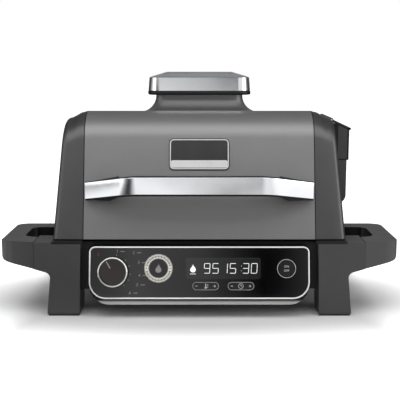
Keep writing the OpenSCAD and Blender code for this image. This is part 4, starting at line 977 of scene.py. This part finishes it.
def build_start_button():
    """Thin ring and the two words of a switch."""
    spot = panel_place("start_button")
    dress("start_button", 0.4 * MM, 3)
    marks = [ring_mesh(13.2 * MM, 13.9 * MM, PRINT_T, on_panel(spot.x, spot.y, PRINT_Z))]
    for word, up in (("ON", 3.0), ("OFF", -3.0)):
        matrix = on_panel(spot.x, spot.y + up * MM, PRINT_Z)
        marks.append(text_mesh(word, 4.6 * MM, matrix, PRINT_T))
    place("start_marks", join("start_marks", marks), "start_key", "key_black",
          FINISH["print_white"])


def pill(inset):
    """Outline of a rocker key drawn in by an inset, with almost half-round ends."""
    h = ROCKER_H - inset
    return soft_rect(ROCKER_W - inset, h, h / 2 - 0.001 * MM, 12)


def build_rockers():
    """Rocker keys: outline, minus, plus and a small sign between them."""
    for key, sign in (("temp_rocker", thermometer()), ("time_rocker", clock())):
        body = BODY_OF[key]
        pivot = PANEL.inverted() @ Vector(JOINTS[body.replace("key", "rock")]["pos_m"])
        spot = on_panel(panel_place(key).x, pivot.y, PRINT_Z)
        dress(key, 0.4 * MM, 3)
        marks = [plate(pill(0.6 * MM), PRINT_T, spot, holes=[pill(1.6 * MM)])]
        bar = soft_rect(3.4 * MM, 0.9 * MM, 0.3 * MM, 3)
        for s in (-1, 1):
            marks.append(plate(shifted(bar, s * SIGN_OUT, 0), PRINT_T, spot))
        post = soft_rect(0.9 * MM, 3.4 * MM, 0.3 * MM, 3)
        marks.append(plate(shifted(post, SIGN_OUT, 0), PRINT_T + 0.01 * MM, spot))
        for outline, holes in sign:
            marks.append(plate(outline, PRINT_T, spot, holes=holes))
        place(key + "_marks", join(key + "_marks", marks), body, "key_black", FINISH["print_white"])


def thermometer():
    """Outline marks of a plain thermometer sign."""
    bulb = circle(1.7 * MM, 24, 0.0, -2.2 * MM)
    stem = shifted(soft_rect(1.3 * MM, 5.6 * MM, 0.6 * MM, 4), 0.0, 1.0 * MM)
    dashes = [shifted(soft_rect(2.0 * MM, 0.7 * MM, 0.2 * MM, 2), 3.0 * MM, k * 1.9 * MM)
              for k in (0, 1, -1)]
    return [(bulb, []), (stem, [])] + [(d, []) for d in dashes]


def clock():
    """Ring and two hands of a plain clock sign."""
    hand = shifted(soft_rect(0.7 * MM, 2.4 * MM, 0.2 * MM, 2), 0.0, 0.9 * MM)
    second = shifted(soft_rect(2.0 * MM, 0.7 * MM, 0.2 * MM, 2), 0.9 * MM, 0.0)
    return [(circle(3.9 * MM, 40), [circle(3.2 * MM, 40)]), (hand, []), (second, [])]


DIGIT = (8.4 * MM, 14.4 * MM, 0.75 * MM)  # width, height and thickness of the strokes
FLAME_OUT = 45.0 * MM  # flame sign to the left of the window's middle


def build_display():
    """Dark window with two rows of digits, and a flame over three short bars."""
    spot = panel_place("display_lens")
    x, y = spot.x, spot.y
    dress("display_lens", 0.25 * MM, 2)
    marks = digit_plates("95", x - 24.0 * MM, y, *DIGIT, 12.6 * MM)
    marks += digit_plates("15:30", x + 2.0 * MM, y, *DIGIT, 12.4 * MM)
    place("display_digits", join("display_digits", marks), "base", "display_glass",
          FINISH["display_light"])
    flat = on_panel(z=LABEL_Z)
    bars = [plate(shifted(flame(12 * MM), x - FLAME_OUT, y), LABEL_T, flat)]
    bar = soft_rect(2.2 * MM, 1.0 * MM, 0.4 * MM, 3)
    for k in (-1, 0, 1):
        bars.append(plate(shifted(bar, x - FLAME_OUT + k * 3.0 * MM, y - 8.2 * MM), LABEL_T, flat))
    place("display_sign", join("display_sign", bars), "base", "display_glass",
          FINISH["display_light"])


# Places of the numbers 1 to 6 and of the 0 on the panel, in millimetres.
NUMBERS = [(-122.0, 31.5), (-97.5, 29.5), (-90.0, 15.0), (-89.0, -4.0), (-92.0, -18.0),
           (-103.0, -30.0)]
ZERO = (-150.0, 27.0)
NUMBER_SIZE = 6.0 * MM
TICK_FROM, TICK_TO = 24.4, 26.4  # distances of a tick's ends from the knob's middle, likewise


def build_labels():
    """Numbers and ticks round the knob."""
    middle = knob_middle()
    flat = on_panel(z=LABEL_Z)
    words = []
    for k, (x, y) in enumerate(NUMBERS):
        matrix = on_panel(x * MM, y * MM, LABEL_Z)
        words.append(text_mesh(str(k + 1), NUMBER_SIZE, matrix, LABEL_T))
        away = Vector((x * MM - middle.x, y * MM - middle.y))
        near = away.normalized() * TICK_FROM * MM
        far = away.normalized() * TICK_TO * MM
        side = Vector((-away.y, away.x)).normalized() * 0.35 * MM
        tick = [near - side, far - side, far + side, near + side]
        words.append(plate([(middle.x + p.x, middle.y + p.y) for p in tick], LABEL_T, flat))
        dash = soft_rect(6.5 * MM, 0.8 * MM, 0.3 * MM, 2)
        words.append(plate(shifted(dash, (x + 8.0) * MM, y * MM), LABEL_T, flat))
    place("dial_numbers", join("dial_numbers", words), "base", "fascia_gloss", FINISH["print_grey"])
    matrix = on_panel(ZERO[0] * MM, ZERO[1] * MM, LABEL_Z)
    zero = [text_mesh("0", NUMBER_SIZE, matrix, LABEL_T)]
    place("dial_zero", join("dial_zero", zero), "base", "fascia_gloss", FINISH["print_red"])


# ---------- base ----------

def sharp_at(piece, x):
    """Rounds the piece's edges except those where it meets its neighbour at x."""
    mesh = piece.data
    tool = bmesh.new()
    tool.from_mesh(mesh)
    layer = tool.edges.layers.float.new("bevel_weight_edge")
    for edge in tool.edges:
        bent = len(edge.link_faces) == 2 and edge.calc_face_angle() > math.radians(30)
        met = all(abs(v.co.x - x) < 0.5 * MM for v in edge.verts)
        edge[layer] = 1.0 if bent and not met else 0.0
    tool.to_mesh(mesh)
    tool.free()
    piece.modifiers["edges"].limit_method = "WEIGHT"


# Limits of the side handles' holes from the middle plane, along Y and in height.
HOLE_X, HOLE_Y, HOLE_Z = (0.212, 0.262), (-0.168, -0.088), (0.04, 0.112)


def in_hole(point):
    """Whether a point lies in the hole of a side handle."""
    spans = (HOLE_X, HOLE_Y, HOLE_Z)
    return all(low < v < high for v, (low, high) in zip((abs(point.x), point.y, point.z), spans))


def build_base():
    dress("base_shell", 1.2 * MM)
    dress("rim_frame", 0.5 * MM, 2)
    dress("bottom_cover", 0.6 * MM, 2)
    for side in ("left", "right"):
        dress("front_leg_" + side, 0.8 * MM)
        dress("rear_leg_" + side, 0.8 * MM)
        handle = dress("side_handle_" + side, 5.0 * MM, 5)
        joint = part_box("side_handle_" + side)
        sharp_at(handle, joint[1].x if side == "left" else joint[0].x)
        # The upright walls inside the hand holes take the black finish: painted shade of the holes' insides.
        handle.data.materials.append(FINISH["black_plastic"])
        for face in handle.data.polygons:
            if in_hole(face.center) and abs(face.normal.z) < 0.7:
                face.material_index = 1
    dress("rubber_feet", 0.8 * MM, 2)
    dress("hinge_brackets", 0.6 * MM, 2)
    dress("hinge_pins", 0.4 * MM, 2)
    dress("power_inlet", 0.6 * MM, 2)
    dress("lid_pads", 0.6 * MM, 2)
    dress("cooking_pot", 0.4 * MM, 2)
    dress("grill_grate", 0.5 * MM, 2)
    dress("grease_tray", 0.5 * MM, 2)
    smooth_copy("heating_element", 40.0)


TRIM_FOOT = 74 * MM  # height of the trims' lower ends above the box's bottom
BOX_TRIMS = (  # X span, top and lower end of the dark trims on the box's front, in millimetres
    (222, 233.5, 276), (249.3, 252.1, 266.5))
BOX_SILL = (233.5, 249.3, 2.0)  # X span and height of the trim between them
FLAP_CLOSED = math.radians(25)  # slope of the closed flap
FLAP_UNDER = -1.25 * MM  # underside of the flap from its middle plane
FLAP_RIM_W, FLAP_RIM_X = 112 * MM, 20.5 * MM  # rim along Y, and its middle from the hinge


def build_pellet_box():
    """Painted box with dark trims and a side panel, its flap with a rim and a lip, and the cup."""
    low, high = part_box("pellet_box")
    dress("pellet_box", 1.6 * MM)
    foot = (low.z + TRIM_FOOT) / MM
    turned = Matrix.Rotation(QUARTER, 4, "X")
    trims = []
    sill = (*BOX_SILL[:2], foot + BOX_SILL[2])
    for x0, x1, z1 in (*BOX_TRIMS, sill):
        outline = shifted(soft_rect((x1 - x0) * MM, (z1 - foot) * MM, 0.3 * MM, 2),
                          (x0 + x1) / 2 * MM, (foot + z1) / 2 * MM)
        trims.append(plate(outline, 0.3 * MM, Matrix.Translation((0, low.y, 0)) @ turned))
    place("pellet_box_trim", join("pellet_box_trim", trims), "lid", "box_paint",
          FINISH["black_plastic"])
    side = plate(shifted(soft_rect(116 * MM, 52 * MM, 4 * MM, 4), 40 * MM, 240 * MM), 0.3 * MM,
                 Matrix.Translation((high.x - 0.2 * MM, 0, 0)) @ Matrix.Rotation(QUARTER, 4, "Z")
                 @ turned)
    panel = place("pellet_box_panel", side, "lid", "box_paint")
    soften(panel, 0.1 * MM, 2)
    dress("pellet_flap", 0.5 * MM)
    hinge = JOINTS["flap_hinge"]["pos_m"]
    closed = Matrix.Translation(hinge) @ Matrix.Rotation(FLAP_CLOSED, 4, "Y")
    w, x = FLAP_RIM_W, FLAP_RIM_X
    rim = plate(shifted(soft_rect(28 * MM, w, 2 * MM, 4), x, 0), 1.7 * MM,
                closed @ Matrix.Translation((0, 0, FLAP_UNDER - 1.7 * MM)),
                holes=[shifted(soft_rect(20 * MM, w - 8 * MM, 2 * MM, 4), x, 0)])
    lip = plate(shifted(soft_rect(3.4 * MM, w, 1 * MM, 4), x + 15.1 * MM, 0), 4.0 * MM,
                closed @ Matrix.Translation((0, 0, FLAP_UNDER - 1.6 * MM)))
    place("pellet_flap_rim", join("pellet_flap_rim", [rim, lip]), BODY_OF["pellet_flap"],
          SLOT_OF["pellet_flap"], FINISH["black_plastic"])
    dress("pellet_cup", 0.3 * MM, 2)


def build_seams_and_gap_shade():
    """Painted shade: black sheets on the leg tops and legs' fronts under the lid's ends; and dark joints of legs
    and handles.
    """
    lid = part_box("lid_shell")[1].x
    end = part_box("lid_end_right")[1].x
    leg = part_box("front_leg_right")
    strips = []
    for way in (-1, 1):
        middle = way * (lid + end) / 2
        top = plate(shifted(soft_rect(end - lid - 1 * MM, 48 * MM, 0.5 * MM, 2), middle,
                            leg[0].y + 24 * MM), 0.5 * MM,
                    Matrix.Translation((0, 0, leg[1].z + 0.05 * MM)))
        face = plate(shifted(soft_rect(end - lid - 1 * MM, 2.9 * MM, 0.4 * MM, 2), middle,
                             leg[1].z - 0.9 * MM), 0.35 * MM,
                     Matrix.Translation((0, leg[0].y + 0.02 * MM, 0))
                     @ Matrix.Rotation(QUARTER, 4, "X"))
        strips += [top, face]
    # Black sheets on the leg tops and fronts: painted shade of the gap under the lid's ends.
    place("leg_top_painted_shade", join("leg_top_painted_shade", strips), "base", "seal_rubber")
    for side, way in (("left", -1), ("right", 1)):
        joint = max(abs(v.co.x) for v in frame["nodes"]["front_leg_" + side].data.vertices)
        seam("side_handle_" + side, "handle_seam_" + side, way * (joint + 0.05 * MM),
             way * (joint + 0.75 * MM), "base")


def build_inside():
    smooth_copy("fan_motor", 40.0)
    smooth_copy("fan_guard", 40.0)
    smooth_copy("fan_impeller", 40.0)


# ---------- everything ----------

SCENE.view_settings.view_transform = "Standard"
FINISH = make_materials()

make_camera()
make_world()
make_stage()
area_light("key", (0.0, -0.74, 1.14), (0.0, -0.15, 0.2), (1.7, 0.7), 8.2)
area_light("top", (0.0, 0.15, 1.7), (0.0, 0.0, 0.0), (2.0, 1.4), 1.5)
area_light("left", (-1.6, -0.7, 0.8), (0.0, -0.1, 0.15), (0.9, 1.3), 3.0)
area_light("right", (1.6, -0.7, 0.8), (0.0, -0.1, 0.15), (0.9, 1.3), 7.0)
area_light("rear", (0.0, 1.6, 1.1), (0.0, 0.1, 0.15), (1.8, 0.9), 4.0, glossy=False)

build_lid()
build_panel()
build_base()
build_pellet_box()
build_inside()
build_seams_and_gap_shade()

for node, item in frame["nodes"].items():
    item.data.materials.clear()
    item.data.materials.append(FINISH[SLOT_OF[node]])
